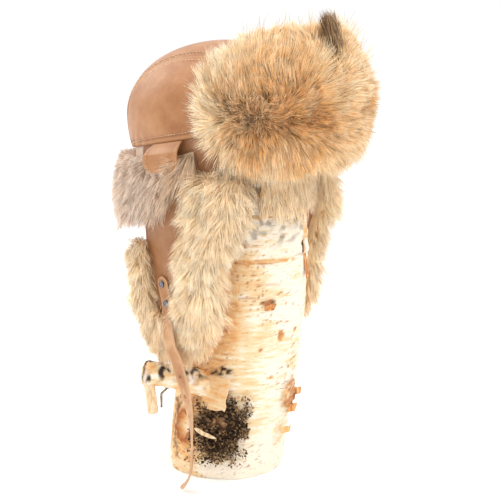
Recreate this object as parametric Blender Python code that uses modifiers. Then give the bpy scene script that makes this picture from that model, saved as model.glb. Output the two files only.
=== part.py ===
"""Aviator hat of tan leather and long pale fur, shown on the birch log that it stands on.

The crown is three leather panels. A deep fur brim is turned up round the brow, a fur cuff goes
round the nape under the crown's hem, and a leather ear flap with a fur border hangs at each side.
The right flap carries a punched strap on two rivets, and the left one a strap with a buckle.
The log stands inside the crown, with one branch cut short under the right flap.

Metres, +Z up. The origin is the middle of the log's foot. The brim faces -Y, so the wearer's
right ear is at -X. Angles round the head are in degrees from the ear, towards the nape.
"""

import math
import random

import bmesh
import bpy
from mathutils import Vector

# Leather crown, measured outside
CROWN_WIDTH = 0.190
CROWN_LENGTH = 0.220
CROWN_RISE = 0.080
STRIP_WIDTH = 0.104
LEATHER = 0.0025
HEM_DROP = 0.0155
HEM_LEAST = 0.004
HEM_SLOPE = math.radians(12)
TUCK_SHARE = 0.055

# Clearances between pieces
SEAM_GAP = 0.0007
FIT_GAP = 0.0012
FUR_GAP = 0.0024
BORDER_GAP = 0.0009
TAB_GAP = 0.0005
BRIM_GAP = 0.0032
SEAT_GAP = 0.0010
EDGE_GAP = 0.0036
LINING_GAP = 0.0010
STRAP_GAP = 0.0013
RIVET_GAP = 0.0008

# Log stand
LOG_HEIGHT = 0.4746
LOG_RADIUS = 0.0630
LOG_LEAN = 0.0268
LEAN_HEADING = math.radians(-75)
LOG_SIDES = 24

# Branch stub, peeled twig under its end and lifting curl of bark, all grown with the log
BRANCH_RADIUS = 0.0145
BRANCH_ROOT = (-0.0600, -0.0080)
BRANCH_TIP = (-0.1070, 0.0440)
TWIG_RADIUS = 0.0062
TWIG_TIP = (-0.1010, 0.0340)
CURL_WIDTH = 0.030
CURL_DROP = 0.040
CURL_THICKNESS = 0.0030
CURL_LIFT = 0.0085
CURL_HEADING = math.radians(185)

# Ear flaps
FLAP_DROP = 0.213
FLAP_LAP = 0.010
LEFT_FORWARD = 0.027
STRAIGHT_FROM = 0.022
STRAIGHT_RUN = 0.055
SWING_FROM = 0.040
SWING_RUN = 0.080
LINING = 0.0030
BAND_DROP = 0.106

# Fur, from its skin side to the tips of the locks
BRIM_DEPTH = 0.050
BRIM_HEIGHT = 0.142
BRIM_LEVEL = 0.027
BRIM_LOCK = 0.014
CUFF_DEPTH = 0.021
CUFF_HEIGHT = 0.075
CUFF_LOCK = 0.006
BORDER_LOCK = 0.009
BORDER_REACH = 0.040
BORDER_DEPTH = 0.020
BORDER_BACK = 0.0065
BROW_DEPTH = 0.010
BROW_DROP = 0.102
BROW_HEIGHT = 0.103
BROW_LOCK = 0.005

# Tabs over the cuff
TAB_HEIGHT = 0.033
TAB_LEATHER = 0.0022

# Straps, rivets and buckle
STRAP_WIDTH = 0.0140
STRAP_LEATHER = 0.0024
HOLE_RADIUS = 0.0022
HOLE_PITCH = 0.0225
HOLE_COUNT = 4
HOLE_START = 0.724
RIVET_RADIUS = 0.0036
RIVET_RISE = 0.0016
RIVET_LEVEL = 0.0189
RIVET_PITCH = 0.0207
BUCKLE_WIRE = 0.0014
BUCKLE_LENGTH = 0.019
BUCKLE_WIDTH = 0.024
FOLD_BACK = 0.016

# Lines of the hat that the sizes above settle
HALF_WIDTH = CROWN_WIDTH / 2
HALF_LENGTH = CROWN_LENGTH / 2
WIDEST = LOG_HEIGHT + SEAT_GAP + LEATHER - CROWN_RISE
TUCK_DEPTH = HEM_DROP + HALF_LENGTH * math.tan(HEM_SLOPE)
FLAP_FOOT = WIDEST - FLAP_DROP

# Heights on the log, as shares of the height of the flaps' foot
BRANCH_LEVEL = FLAP_FOOT * 0.583
BRANCH_RISEN = FLAP_FOOT * 0.694
TWIG_LEVEL = FLAP_FOOT * 0.432
CURL_HEIGHT = FLAP_FOOT * 0.546

# Log sections from foot to top: share of the height, share of the lean, share of the radius
LOG_ROWS = (
    (0.000, 0.00, 1.080),
    (0.040, 0.05, 1.100),
    (0.085, 0.13, 1.110),
    (0.145, 0.26, 1.115),
    (0.205, 0.42, 1.115),
    (0.290, 0.68, 1.080),
    (0.400, 0.92, 1.040),
    (0.520, 1.00, 1.010),
    (0.600, 0.88, 0.990),
    (0.680, 0.70, 0.970),
    (0.760, 0.52, 0.950),
    (0.850, 0.32, 0.915),
    (0.930, 0.10, 0.840),
)

# Ear flap outline: share of the drop, angle of the rear edge, angle of the front edge
FLAP_ROWS = (
    (0.00, 37.0, -25.0),
    (0.30, 37.0, -27.0),
    (0.48, 36.0, -26.0),
    (0.62, 33.5, -20.0),
    (0.74, 31.0, -15.0),
    (0.86, 29.0, -10.0),
    (0.93, 25.0, -4.0),
    (0.98, 19.5, 3.0),
    (1.00, 16.0, 6.0),
)

# Fur border down the front of a flap, round its foot and up its rear: share of the way along the
# leather's edge, then as shares of the named sizes its reach over the leather and past the edge,
# its depth outwards and inwards, and the length of its locks
BORDER_ROWS = (
    (0.120, 0.850, 0.425, 0.80, 0.92, 0.8),
    (0.150, 0.900, 0.600, 1.00, 1.00, 1.0),
    (0.200, 0.950, 0.525, 1.02, 1.00, 1.0),
    (0.250, 0.900, 0.250, 1.00, 1.00, 1.0),
    (0.310, 0.750, 0.200, 0.95, 1.00, 1.0),
    (0.370, 0.625, 0.300, 0.90, 1.00, 1.0),
    (0.430, 0.475, 0.575, 0.75, 1.00, 0.8),
    (0.475, 0.275, 0.950, 0.45, 0.92, 0.5),
    (0.520, 0.125, 1.050, 0.30, 0.92, 0.3),
    (0.565, 0.075, 0.900, 0.30, 0.92, 0.3),
    (0.610, 0.050, 0.650, 0.40, 0.92, 0.6),
    (0.660, 0.050, 0.575, 0.45, 1.00, 0.9),
    (0.710, 0.050, 0.575, 0.50, 1.00, 1.0),
    (0.750, 0.050, 0.500, 0.40, 0.92, 0.6),
)

# Cuff: angle, depth share, top below the hem and foot as shares of the cuff's height, and length of
# the locks as a share of CUFF_LOCK, which is short where a tab presses on them
CUFF_ROWS = (
    (-11.0, 0.38, 0.14, 0.42, 0.7),
    (-4.0, 0.52, 0.15, 0.46, 0.3),
    (4.0, 0.60, 0.17, 0.84, 0.3),
    (14.0, 0.62, 0.17, 1.02, 0.3),
    (27.0, 0.70, 0.10, 1.06, 0.8),
    (44.0, 0.88, 0.06, 1.04, 1.0),
    (66.0, 1.00, 0.05, 1.00, 1.0),
    (90.0, 1.04, 0.05, 0.98, 1.0),
)

# Brim: angle, depth share, height share, how far its middle is above BRIM_LEVEL as a height share
BRIM_ROWS = (
    (-13.0, 0.32, 0.30, -0.04),
    (-20.0, 0.52, 0.54, -0.04),
    (-28.0, 0.74, 0.82, -0.03),
    (-42.0, 0.94, 0.98, 0.00),
    (-62.0, 1.00, 1.00, 0.01),
    (-90.0, 1.00, 1.02, 0.03),
)

# Routes of the two straps, from the flap down: how far outside the flap's leather and place along
# Y, both in strap widths, then the height from the flap's foot, in strap widths above it and as a
# share of the way to the floor below it, and the turn of the strap's face in degrees
STRAP_ROUTE = (
    (0.000, 1.986, 3.350, 0),
    (0.000, 1.871, 2.636, 0),
    (0.000, 1.479, 0.993, 0),
    (0.571, 1.214, 0.207, 0),
    (1.071, 0.571, -0.092, 4),
    (1.357, -0.071, -0.190, 8),
    (1.607, -0.536, -0.287, 12),
    (1.571, -0.821, -0.384, 20),
    (1.429, -1.000, -0.503, 30),
    (1.214, -1.036, -0.633, 42),
    (1.000, -0.964, -0.773, 50),
    (0.786, -0.750, -0.887, 46),
    (0.714, -0.357, -0.951, 30),
    (0.821, -0.071, -0.976, 10),
)
BUCKLE_STRAP_ROUTE = (
    (0.000, 1.986, 3.350, 0),
    (0.000, 1.871, 2.636, 0),
    (0.000, 1.457, 0.957, 0),
    (0.786, 1.286, 0.136, 0),
    (1.643, 1.071, -0.060, 0),
    (2.286, 0.929, -0.146, 0),
)

LEATHER_TAN = (0.56, 0.30, 0.14, 1.0)
LEATHER_STRAP = (0.50, 0.26, 0.13, 1.0)
LINING_RUST = (0.42, 0.15, 0.05, 1.0)
FUR_GOLD = (0.62, 0.40, 0.19, 1.0)
FUR_CREAM = (0.72, 0.55, 0.36, 1.0)
FUR_GREY = (0.55, 0.47, 0.40, 1.0)
BIRCH_BARK = (0.78, 0.62, 0.42, 1.0)
OLD_METAL = (0.22, 0.22, 0.23, 1.0)


def clear_scene():
    for old in list(bpy.data.objects):
        bpy.data.objects.remove(old, do_unlink=True)


def new_collection(name):
    made = bpy.data.collections.new(name)
    bpy.context.scene.collection.children.link(made)
    return made


def surface(name, colour, roughness, metallic=0.0):
    made = bpy.data.materials.new(name)
    made.use_nodes = True
    shader = made.node_tree.nodes["Principled BSDF"]
    shader.inputs["Base Color"].default_value = colour
    shader.inputs["Roughness"].default_value = roughness
    shader.inputs["Metallic"].default_value = metallic
    return made


def place(bm, name, material, home, smooth_angle=40):
    """Turns a bmesh into an object of the collection, with its faces pointing out."""
    bmesh.ops.recalc_face_normals(bm, faces=bm.faces)
    mesh = bpy.data.meshes.new(name)
    bm.to_mesh(mesh)
    bm.free()
    mesh.shade_smooth()
    mesh.set_sharp_from_angle(angle=math.radians(smooth_angle))
    mesh.materials.append(material)
    obj = bpy.data.objects.new(name, mesh)
    home.objects.link(obj)
    return obj


def row_at(rows, share):
    """The row of a table at this share of the way down it, on a smooth curve through the rows."""
    place_in = min(max(share, 0.0), 1.0) * (len(rows) - 1)
    i = min(int(place_in), len(rows) - 2)
    t = place_in - i
    before, start, end, after = (rows[min(max(i + k, 0), len(rows) - 1)] for k in (-1, 0, 1, 2))
    return tuple(
        b + 0.5 * t * (c - a + t * (2 * a - 5 * b + 4 * c - d + t * (3 * (b - c) + d - a)))
        for a, b, c, d in zip(before, start, end, after)
    )


def row_by(rows, key):
    """The row of a table whose first column has this value, on straight lines between the rows."""
    rising = sorted(rows)
    for low, high in zip(rising, rising[1:]):
        if key <= high[0]:
            break
    t = min(max((key - low[0]) / (high[0] - low[0]), 0.0), 1.0)
    return tuple(a + (b - a) * t for a, b in zip(low, high))


def resample(points, count):
    """The same line as count + 1 points, evenly spaced along it."""
    reach = [0.0]
    for a, b in zip(points, points[1:]):
        reach.append(reach[-1] + (b - a).length)
    made = []
    i = 0
    for k in range(count + 1):
        target = reach[-1] * k / count
        while i < len(points) - 2 and reach[i + 1] < target:
            i += 1
        step = reach[i + 1] - reach[i]
        share = (target - reach[i]) / step if step else 0.0
        made.append(points[i].lerp(points[i + 1], min(max(share, 0.0), 1.0)))
    return made


# Leather crown


def tuck(z):
    """How much the crown draws in below its widest level, as a share of its size."""
    below = min(max(WIDEST - z, 0.0), TUCK_DEPTH)
    return 1 - TUCK_SHARE * (below / TUCK_DEPTH) ** 2


def hem_height(y):
    return WIDEST - max(HEM_LEAST, HEM_DROP + y * math.tan(HEM_SLOPE))


def tucked(x, y, z):
    return Vector((x * tuck(z), y * tuck(z), z))


def strip_line(x, fine=48):
    """Outer line of the crown from brow to nape, at this distance from the middle."""
    share = math.sqrt(1 - (x / HALF_WIDTH) ** 2)
    y = HALF_LENGTH * share
    line = [tucked(x, -y, hem_height(-y))]
    for i in range(fine + 1):
        turn = math.pi * i / fine
        line.append(Vector((x, -y * math.cos(turn), WIDEST + CROWN_RISE * share * math.sin(turn))))
    drop = WIDEST - hem_height(y)
    line += [tucked(x, y, WIDEST - drop * (i + 1) / 6) for i in range(6)]
    return line


def side_line(y, fine=24):
    """Outer line of a side panel from its seam down to the hem, at this place along Y."""
    seam = STRIP_WIDTH / 2 + SEAM_GAP
    share = math.sqrt(1 - (y / HALF_LENGTH) ** 2)
    widest = HALF_WIDTH * share
    start = math.acos(min(seam / widest, 1.0))
    line = []
    for i in range(fine + 1):
        turn = start * (1 - i / fine)
        line.append(Vector((widest * math.cos(turn), y, WIDEST + CROWN_RISE * share * math.sin(turn))))
    drop = WIDEST - hem_height(y)
    line += [tucked(widest, y, WIDEST - drop * (i + 1) / 6) for i in range(6)]
    return line


def sheet(name, lines, wall, material, home, outward=None):
    """A leather sheet: an open surface through these lines, thickened inwards by its wall."""
    bm = bmesh.new()
    rows, columns = len(lines), len(lines[0])
    bmesh.ops.create_grid(bm, x_segments=columns - 1, y_segments=rows - 1, size=1.0)
    bm.verts.ensure_lookup_table()
    for i, line in enumerate(lines):
        for k, point in enumerate(line):
            bm.verts[i * columns + k].co = point
    bmesh.ops.remove_doubles(bm, verts=bm.verts, dist=0.0002)
    bm.normal_update()
    middle = outward or Vector((0.0, 0.0, WIDEST))
    facing = sum(face.normal.dot(face.calc_center_median() - middle) * face.calc_area() for face in bm.faces)
    if facing < 0:
        bmesh.ops.reverse_faces(bm, faces=bm.faces)
    mesh = bpy.data.meshes.new(name)
    bm.to_mesh(mesh)
    bm.free()
    mesh.shade_smooth()
    mesh.materials.append(material)
    obj = bpy.data.objects.new(name, mesh)
    home.objects.link(obj)
    thick = obj.modifiers.new("Leather", "SOLIDIFY")
    thick.thickness = wall
    thick.offset = -1.0
    thick.use_even_offset = True
    return obj


def make_crown(home, material):
    half_strip = STRIP_WIDTH / 2
    across = 6
    lines = [resample(strip_line(half_strip * (2 * i / across - 1)), 24) for i in range(across + 1)]
    sheet("crown_strip", lines, LEATHER, material, home)
    reach = HALF_LENGTH * math.sqrt(1 - ((half_strip + SEAM_GAP) / HALF_WIDTH) ** 2)
    along = 14
    for side, name in ((-1, "crown_side_right"), (1, "crown_side_left")):
        lines = []
        for i in range(along + 1):
            y = reach * math.sin(math.pi * (i / along - 0.5))
            lines.append([Vector((side * p.x, p.y, p.z)) for p in resample(side_line(y), 8)])
        sheet(name, lines, LEATHER, material, home)


# What hangs below the hem, laid out round the head


def skirt_half_width():
    return HALF_WIDTH * tuck(hem_height(0.0)) - LEATHER - FIT_GAP


def skirt_half_length():
    return HALF_LENGTH * (1 - TUCK_SHARE) - LEATHER - FIT_GAP


def around(side, angle, offset, z):
    """A point round the head: side -1 is the right ear, and offset is outwards from the leather."""
    turn = math.radians(angle)
    x = (skirt_half_width() + offset) * math.cos(turn)
    y = (skirt_half_length() + offset) * math.sin(turn)
    return Vector((side * x, y, z))


def hanging(side, angle, offset, z):
    """A point on a flap, which hangs straighter in front of the ear than the head is round.

    The left flap's foot swings forward, because the log leans towards it.
    """
    point = around(side, angle, offset, z)
    free = min(max((WIDEST - STRAIGHT_FROM - z) / STRAIGHT_RUN, 0.0), 1.0)
    free = free * free * (3 - 2 * free)
    if angle < 0:
        straight = Vector((side * (skirt_half_width() + offset), math.radians(angle) * skirt_half_length(), z))
        point = point.lerp(straight, free)
    swing = min(max((WIDEST - SWING_FROM - z) / SWING_RUN, 0.0), 1.0)
    if side > 0:
        point.y -= LEFT_FORWARD * swing * swing * (3 - 2 * swing)
    return point


def flap_top(angle):
    return hem_height(around(1, angle, 0.0, 0.0).y) + FLAP_LAP


def flap_lines(side, offset, rows=10, columns=8):
    lines = []
    for i in range(rows + 1):
        share, rear, front = row_at(FLAP_ROWS, i / rows)
        line = []
        for k in range(columns + 1):
            angle = front + (rear - front) * k / columns
            top = flap_top(angle)
            line.append(hanging(side, angle, offset, top - (top - FLAP_FOOT) * share))
        lines.append(line)
    return lines


def make_flaps(home, leather, lining):
    for side, word in ((-1, "right"), (1, "left")):
        sheet(f"ear_flap_{word}", flap_lines(side, 0.0), LEATHER, leather, home)
        inside = -LEATHER - LINING_GAP
        lines = []
        for line in flap_lines(side, inside):
            lines.append([p.lerp(line[4], 0.06) for p in line])
        sheet(f"ear_lining_{word}", lines, LINING, lining, home)


def make_nape_band(home, leather):
    """Leather wall behind the cuff, from one flap's rear edge to the other's."""
    start = FLAP_ROWS[0][1] + 1.0
    columns, rows = 18, 3
    lines = []
    for i in range(rows + 1):
        line = []
        for k in range(columns + 1):
            angle = start + (180 - 2 * start) * k / columns
            top = flap_top(angle)
            line.append(around(-1, angle, 0.0, top - (top - WIDEST + BAND_DROP) * i / rows))
        lines.append(line)
    sheet("nape_band", lines, LEATHER, leather, home)


# Fur: a closed body lofted through sections, with a lock drawn out of each face of its outside


def fur_solid(name, loops, bare, locks, comb, material, home, seed):
    """Fur with its outer form in locks, combed up or down. Faces from the points in bare stay smooth."""
    random.seed(seed)
    bm = bmesh.new()
    count = len(loops[0])
    rings = [[bm.verts.new(point) for point in loop] for loop in loops]
    coat = []
    for lower, upper, lock in zip(rings, rings[1:], locks):
        for k in range(count):
            after = (k + 1) % count
            face = bm.faces.new((lower[k], lower[after], upper[after], upper[k]))
            if k not in bare:
                coat.append((face, lock))
    ends = [bm.faces.new(rings[0][::-1]), bm.faces.new(rings[-1])]
    bmesh.ops.recalc_face_normals(bm, faces=bm.faces)
    grown = [(face, face.normal.copy(), lock) for face, lock in coat]
    for face, normal, lock in grown:
        tip = bmesh.ops.poke(bm, faces=[face])["verts"][0]
        length = lock * random.uniform(0.75, 1.2) * (0.5 if normal.z < -0.6 else 1.0)
        tip.co += normal * length
        tip.co.z += comb * length * (1 if tip.co.z < WIDEST + BRIM_LEVEL else -1)
    bmesh.ops.triangulate(bm, faces=ends, ngon_method="EAR_CLIP")
    return place(bm, name, material, home, smooth_angle=20)


def crown_reach(angle, z):
    """Outer reach of the crown in this direction at this height, as a share of its widest."""
    up = max(z - WIDEST, 0.0) / CROWN_RISE
    return math.sqrt(max(1 - up * up, 0.0)) * tuck(z)


def brim_loop(angle, depth, height, level, points=16):
    """Section of the brim in the upright plane at this angle round the head."""
    turn = math.radians(angle)
    heading = Vector((-math.cos(turn) * HALF_WIDTH, math.sin(turn) * HALF_LENGTH, 0.0))
    base = heading.length
    heading.normalize()
    deep = BRIM_DEPTH * depth
    tall = BRIM_HEIGHT * height / 2
    middle = WIDEST + BRIM_LEVEL + BRIM_HEIGHT * level
    loop = []
    for i in range(points):
        round_about = 2 * math.pi * (i + 0.5) / points
        z = middle + tall * math.sin(round_about)
        free = base + deep * (0.22 + 0.78 * math.cos(round_about))
        against = base * crown_reach(angle, z) + BRIM_GAP
        loop.append(heading * max(free, against) + Vector((0.0, 0.0, z)))
    return loop


def make_brim(home, material):
    sections = 13
    rows = [row_at(BRIM_ROWS, i / sections) for i in range(sections + 1)]
    loops = [brim_loop(*row) for row in rows]
    loops += [brim_loop(-180 - row[0], *row[1:]) for row in rows[-2::-1]]
    points = len(loops[0])
    bare = {k for k in range(points) if points * 0.22 < k + 0.5 < points * 0.78}
    fur_solid("brim_fur", loops, bare, [BRIM_LOCK] * len(loops), -0.5, material, home, seed=3)


def make_cuff(home, material):
    points, sections = 12, 15
    rows = [row_at(CUFF_ROWS, i / sections) for i in range(sections + 1)]
    rows += [(180 - row[0], *row[1:]) for row in rows[-2::-1]]
    loops = []
    for angle, depth, top_share, foot_share, _ in rows:
        hem = hem_height(around(1, angle, 0.0, 0.0).y)
        top = hem - CUFF_HEIGHT * top_share
        foot = hem - CUFF_HEIGHT * foot_share
        loop = []
        for i in range(points):
            turn = 2 * math.pi * (i + 0.5) / points
            out = max(CUFF_DEPTH * depth * (0.5 + 0.62 * math.cos(turn)), FUR_GAP / 2)
            out = min(out, CUFF_DEPTH * depth)
            loop.append(around(-1, angle, out, (top + foot) / 2 + (top - foot) / 2 * math.sin(turn)))
        loops.append(loop)
    locks = [CUFF_LOCK * row[-1] for row in rows]
    fur_solid("nape_fur", loops, {3, 4, 5, 6, 7}, locks, -0.6, material, home, seed=5)


def flap_edge(side):
    """Edge of a flap's leather as distance round the head and height, front, foot, then rear."""
    reach = math.radians(1) * (skirt_half_width() + skirt_half_length()) / 2
    front, rear = [], []
    steps = 40
    for i in range(steps + 1):
        share, rear_angle, front_angle = row_at(FLAP_ROWS, i / steps)
        for edge, angle in ((front, front_angle), (rear, rear_angle)):
            top = flap_top(angle)
            edge.append(Vector((angle * reach, top - (top - FLAP_FOOT) * share)))
    return resample(front + rear[::-1], 120), reach


def border_loop(side, edge, reach, row):
    """Section of a flap's fur border, from its reach over the leather to its outer edge and back."""
    share = row[0]
    over, past, out, back = (a * b for a, b in zip(row[1:], (BORDER_REACH, BORDER_REACH, BORDER_DEPTH, BORDER_BACK)))
    place_in = share * (len(edge) - 1)
    i = int(place_in)
    at = edge[i].lerp(edge[i + 1], place_in - i)
    along = (edge[min(i + 7, len(edge) - 1)] - edge[max(i - 6, 0)]).normalized()
    away = Vector((along.y, -along.x))
    clear = EDGE_GAP
    section = (
        (-over, BORDER_GAP),
        (-over * 0.5, BORDER_GAP),
        (clear, BORDER_GAP),
        (clear, -back),
        (clear + (past - clear) * 0.6, -back),
        (past, -back * 0.3),
        (past * 1.05, out * 0.45),
        (past * 0.80, out * 0.85),
        (past * 0.30, out),
        (-over * 0.25, out * 0.95),
        (-over * 0.65, out * 0.75),
        (-over, out * 0.45),
    )
    loop = []
    for away_by, offset in section:
        point = at + away * away_by
        loop.append(hanging(side, point.x / reach, offset, point.y))
    return loop


def make_borders(home, material):
    sections = 29
    for side, word in ((-1, "right"), (1, "left")):
        edge, reach = flap_edge(side)
        rows = [row_at(BORDER_ROWS, i / sections) for i in range(sections + 1)]
        loops = [border_loop(side, edge, reach, row) for row in rows]
        locks = [BORDER_LOCK * row[-1] for row in rows]
        fur_solid(f"ear_fur_{word}", loops, {0, 1, 2, 3, 11}, locks, -0.7, material, home, seed=7)


def inside_crown(angle, z):
    """A point just inside the crown's wall, in this direction from the middle of the head."""
    turn = math.radians(angle)
    wall = LEATHER + FUR_GAP / 2
    reach = tuck(min(z, WIDEST))
    return Vector((-(HALF_WIDTH * reach - wall) * math.cos(turn), (HALF_LENGTH * reach - wall) * math.sin(turn), z))


def make_brow(home, material):
    """Fur that hangs inside the front edge, between the two borders, from just inside the hem."""
    points, sections = 12, 12
    loops = []
    for i in range(sections + 1):
        angle = -46 - 88 * i / sections
        foot = WIDEST - BROW_DROP
        loop = []
        for k in range(points):
            turn = 2 * math.pi * (k + 0.5) / points
            z = foot + BROW_HEIGHT * (0.5 + 0.5 * math.sin(turn))
            point = around(-1, angle, BROW_DEPTH * (-0.55 + 0.5 * math.cos(turn)), z)
            sewn = min(max((z - WIDEST + BROW_HEIGHT * 0.29) / (BROW_HEIGHT * 0.25), 0.0), 1.0)
            if math.cos(turn) < 0:
                sewn *= 0.55
            loop.append(point.lerp(inside_crown(angle, z), sewn * sewn * (3 - 2 * sewn)))
        loops.append(loop)
    locks = [BROW_LOCK] * len(loops)
    fur_solid("brow_fur", loops, {0, 1, 2, 3, 4, 5, 6, 7, 11}, locks, -0.7, material, home, seed=9)


# Tabs, straps, rivets and buckle


def make_tabs(home, leather):
    """Leather tab over each side of the cuff, rounded at its rear lower corner."""
    columns, rows = 6, 6
    at_hem = LEATHER + FIT_GAP
    for side, word in ((-1, "right"), (1, "left")):
        lines = []
        for i in range(rows + 1):
            down = i / rows
            line = []
            for k in range(columns + 1):
                rear = 20.5 - 7.0 * max(down - 0.55, 0.0) ** 2 * 4
                angle = -1.0 + (rear + 1.0) * k / columns
                hem = hem_height(around(1, angle, 0.0, 0.0).y)
                _, depth, _, _, lock = row_by(CUFF_ROWS, angle)
                over = CUFF_DEPTH * depth + CUFF_LOCK * lock * 1.2 + TAB_GAP + TAB_LEATHER
                out = at_hem + (over - at_hem) * math.sin(math.pi / 2 * min(2.4 * down, 1.0))
                line.append(around(side, angle, out, hem - TAB_GAP - TAB_HEIGHT * down))
            lines.append(line)
        sheet(f"tab_{word}", lines, TAB_LEATHER, leather, home)


def route_height(step):
    return FLAP_FOOT + (STRAP_WIDTH if step > 0 else FLAP_FOOT) * step


def route_points(side, route, count):
    """Centre line of a strap and the turn of its face, as a smooth curve through its route."""
    steps = [(out * STRAP_WIDTH, y * STRAP_WIDTH, route_height(step), turn) for out, y, step, turn in route]
    made = []
    for i in range(count + 1):
        out, y, z, turn = row_at(steps, i / count)
        angle = math.degrees(math.asin(y / skirt_half_length()))
        at = hanging(side, angle, 0.0, z)
        heading = Vector((side * math.cos(math.radians(angle)), math.sin(math.radians(angle)), 0.0))
        at += heading * (out + STRAP_GAP + STRAP_LEATHER)
        made.append((at, heading, turn))
    return made


def strap_lines(side, route, count=40, columns=2):
    made = route_points(side, route, count)
    lines = []
    for i, (at, heading, turn) in enumerate(made):
        before = made[max(i - 1, 0)][0]
        after = made[min(i + 1, count)][0]
        along = (after - before).normalized()
        across = along.cross(heading).normalized()
        if turn:
            across = across.lerp(heading * side, math.sin(math.radians(turn))).normalized()
            across = (across - along * across.dot(along)).normalized()
        near_end = min(i, count - i) / count * 12
        width = STRAP_WIDTH * math.sqrt(min(1.0, 0.35 + 0.65 * near_end))
        lines.append([at + across * width * (k / columns - 0.5) for k in range(columns + 1)])
    return lines, made


def make_strap(side, word, route, count, home, leather):
    lines, made = strap_lines(side, route, count)
    middle = made[len(made) // 2][0] - made[0][1] * 0.2
    return sheet(f"strap_{word}", lines, STRAP_LEATHER, leather, home, outward=middle), made


def punch(strap, made, cutters):
    """Cuts the row of buckle holes in the strap's free length."""
    start = next(i for i, (at, _, _) in enumerate(made) if at.z < FLAP_FOOT * HOLE_START)
    reach = 0.0
    wanted = 0
    for i in range(start, len(made) - 1):
        if reach >= wanted * HOLE_PITCH and wanted < HOLE_COUNT:
            at, heading, turn = made[i]
            along = (made[i + 1][0] - made[i - 1][0]).normalized()
            across = along.cross(heading).normalized()
            if turn:
                across = across.lerp(heading * -1, math.sin(math.radians(turn))).normalized()
            face = across.cross(along).normalized()
            bm = bmesh.new()
            bmesh.ops.create_cone(bm, cap_ends=True, segments=10, radius1=HOLE_RADIUS, radius2=HOLE_RADIUS, depth=STRAP_LEATHER * 5)
            mesh = bpy.data.meshes.new(f"punch_{wanted}")
            bm.to_mesh(mesh)
            bm.free()
            cutter = bpy.data.objects.new(mesh.name, mesh)
            cutter.location = at
            cutter.rotation_mode = "QUATERNION"
            cutter.rotation_quaternion = face.to_track_quat("Z", "Y")
            cutter.hide_render = True
            cutter.display_type = "WIRE"
            cutters.objects.link(cutter)
            cut = strap.modifiers.new(f"Hole {wanted + 1}", "BOOLEAN")
            cut.object = cutter
            cut.operation = "DIFFERENCE"
            wanted += 1
        reach += (made[i + 1][0] - made[i][0]).length


def make_rivets(side, word, route, home, metal):
    """Two domed rivets through the head of a strap, standing on its face."""
    for number in (1, 2):
        z = FLAP_FOOT + RIVET_LEVEL + RIVET_PITCH * (2 - number)
        made = route_points(side, route, 200)
        at, heading, _ = min(made, key=lambda row: abs(row[0].z - z))
        bm = bmesh.new()
        bmesh.ops.create_uvsphere(bm, u_segments=12, v_segments=8, radius=RIVET_RADIUS)
        cut = bmesh.ops.bisect_plane(
            bm, geom=bm.verts[:] + bm.edges[:] + bm.faces[:], plane_co=(0, 0, 0), plane_no=(0, 0, -1), clear_outer=True
        )
        rim = [e for e in cut["geom_cut"] if isinstance(e, bmesh.types.BMEdge)]
        bmesh.ops.contextual_create(bm, geom=rim)
        for vert in bm.verts:
            vert.co.z *= RIVET_RISE / RIVET_RADIUS
        rivet = place(bm, f"rivet_{word}_{number}", metal, home)
        rivet.rotation_mode = "QUATERNION"
        rivet.rotation_quaternion = heading.to_track_quat("Z", "Y")
        rivet.location = at + heading * RIVET_GAP


def make_buckle_strap(home, leather, metal):
    """Left strap, folded back on its inside round the top bar of a plain wire buckle."""
    count = 24
    lines, made = strap_lines(1, BUCKLE_STRAP_ROUTE, count)
    fold = BUCKLE_WIRE + SEAM_GAP + STRAP_LEATHER
    foot, outwards, _ = made[-1]
    along = (foot - made[-2][0]).normalized()
    across = along.cross(outwards).normalized()
    inwards = along.cross(across).normalized()
    if inwards.dot(outwards) > 0:
        inwards = -inwards
    centre = foot + inwards * fold
    width = [STRAP_WIDTH * (k / 2 - 0.5) for k in range(3)]
    lines = lines[:-3]
    for at, _, _ in made[-3:]:
        lines.append([at + across * reach for reach in width])
    for i in range(1, 9):
        turn = math.pi * i / 8
        at = centre - inwards * fold * math.cos(turn) + along * fold * math.sin(turn)
        lines.append([at + across * reach for reach in width])
    for i in range(1, 4):
        at = centre + inwards * fold - along * FOLD_BACK * i / 3
        lines.append([at + across * reach for reach in width])
    strap = sheet("strap_left", lines, STRAP_LEATHER, leather, home)
    facing = strap.data.polygons[len(strap.data.polygons) // 8]
    if facing.normal.dot(outwards) < 0:
        strap.data.flip_normals()
    half = BUCKLE_WIDTH / 2
    corner = BUCKLE_WIDTH / 6
    ring = []
    for sx, sy, start in ((1, 0, -90), (1, 1, 0), (-1, 1, 90), (-1, 0, 180)):
        for i in range(4):
            turn = math.radians(start + 30 * i)
            x = sx * (half - corner) + corner * math.cos(turn)
            y = (corner if not sy else BUCKLE_LENGTH - corner) + corner * math.sin(turn)
            ring.append(centre + across * x + along * y)
    bm = bmesh.new()
    normal = across.cross(along)
    hoops = []
    for i, at in enumerate(ring):
        tangent = (ring[(i + 1) % len(ring)] - ring[i - 1]).normalized()
        side = tangent.cross(normal)
        hoops.append([
            bm.verts.new(at + BUCKLE_WIRE * (side * math.cos(t) + normal * math.sin(t)))
            for t in (math.pi * k / 4 for k in range(8))
        ])
    for i, hoop in enumerate(hoops):
        after = hoops[(i + 1) % len(hoops)]
        for k in range(8):
            bm.faces.new((hoop[k], hoop[(k + 1) % 8], after[(k + 1) % 8], after[k]))
    place(bm, "buckle", metal, home)


# Log stand


def log_axis(share):
    """Middle of the log at this share of its height."""
    height, lean, _ = row_by(LOG_ROWS, share)
    out = LOG_LEAN * lean
    return Vector((out * math.cos(LEAN_HEADING), out * math.sin(LEAN_HEADING), LOG_HEIGHT * share))


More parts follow.
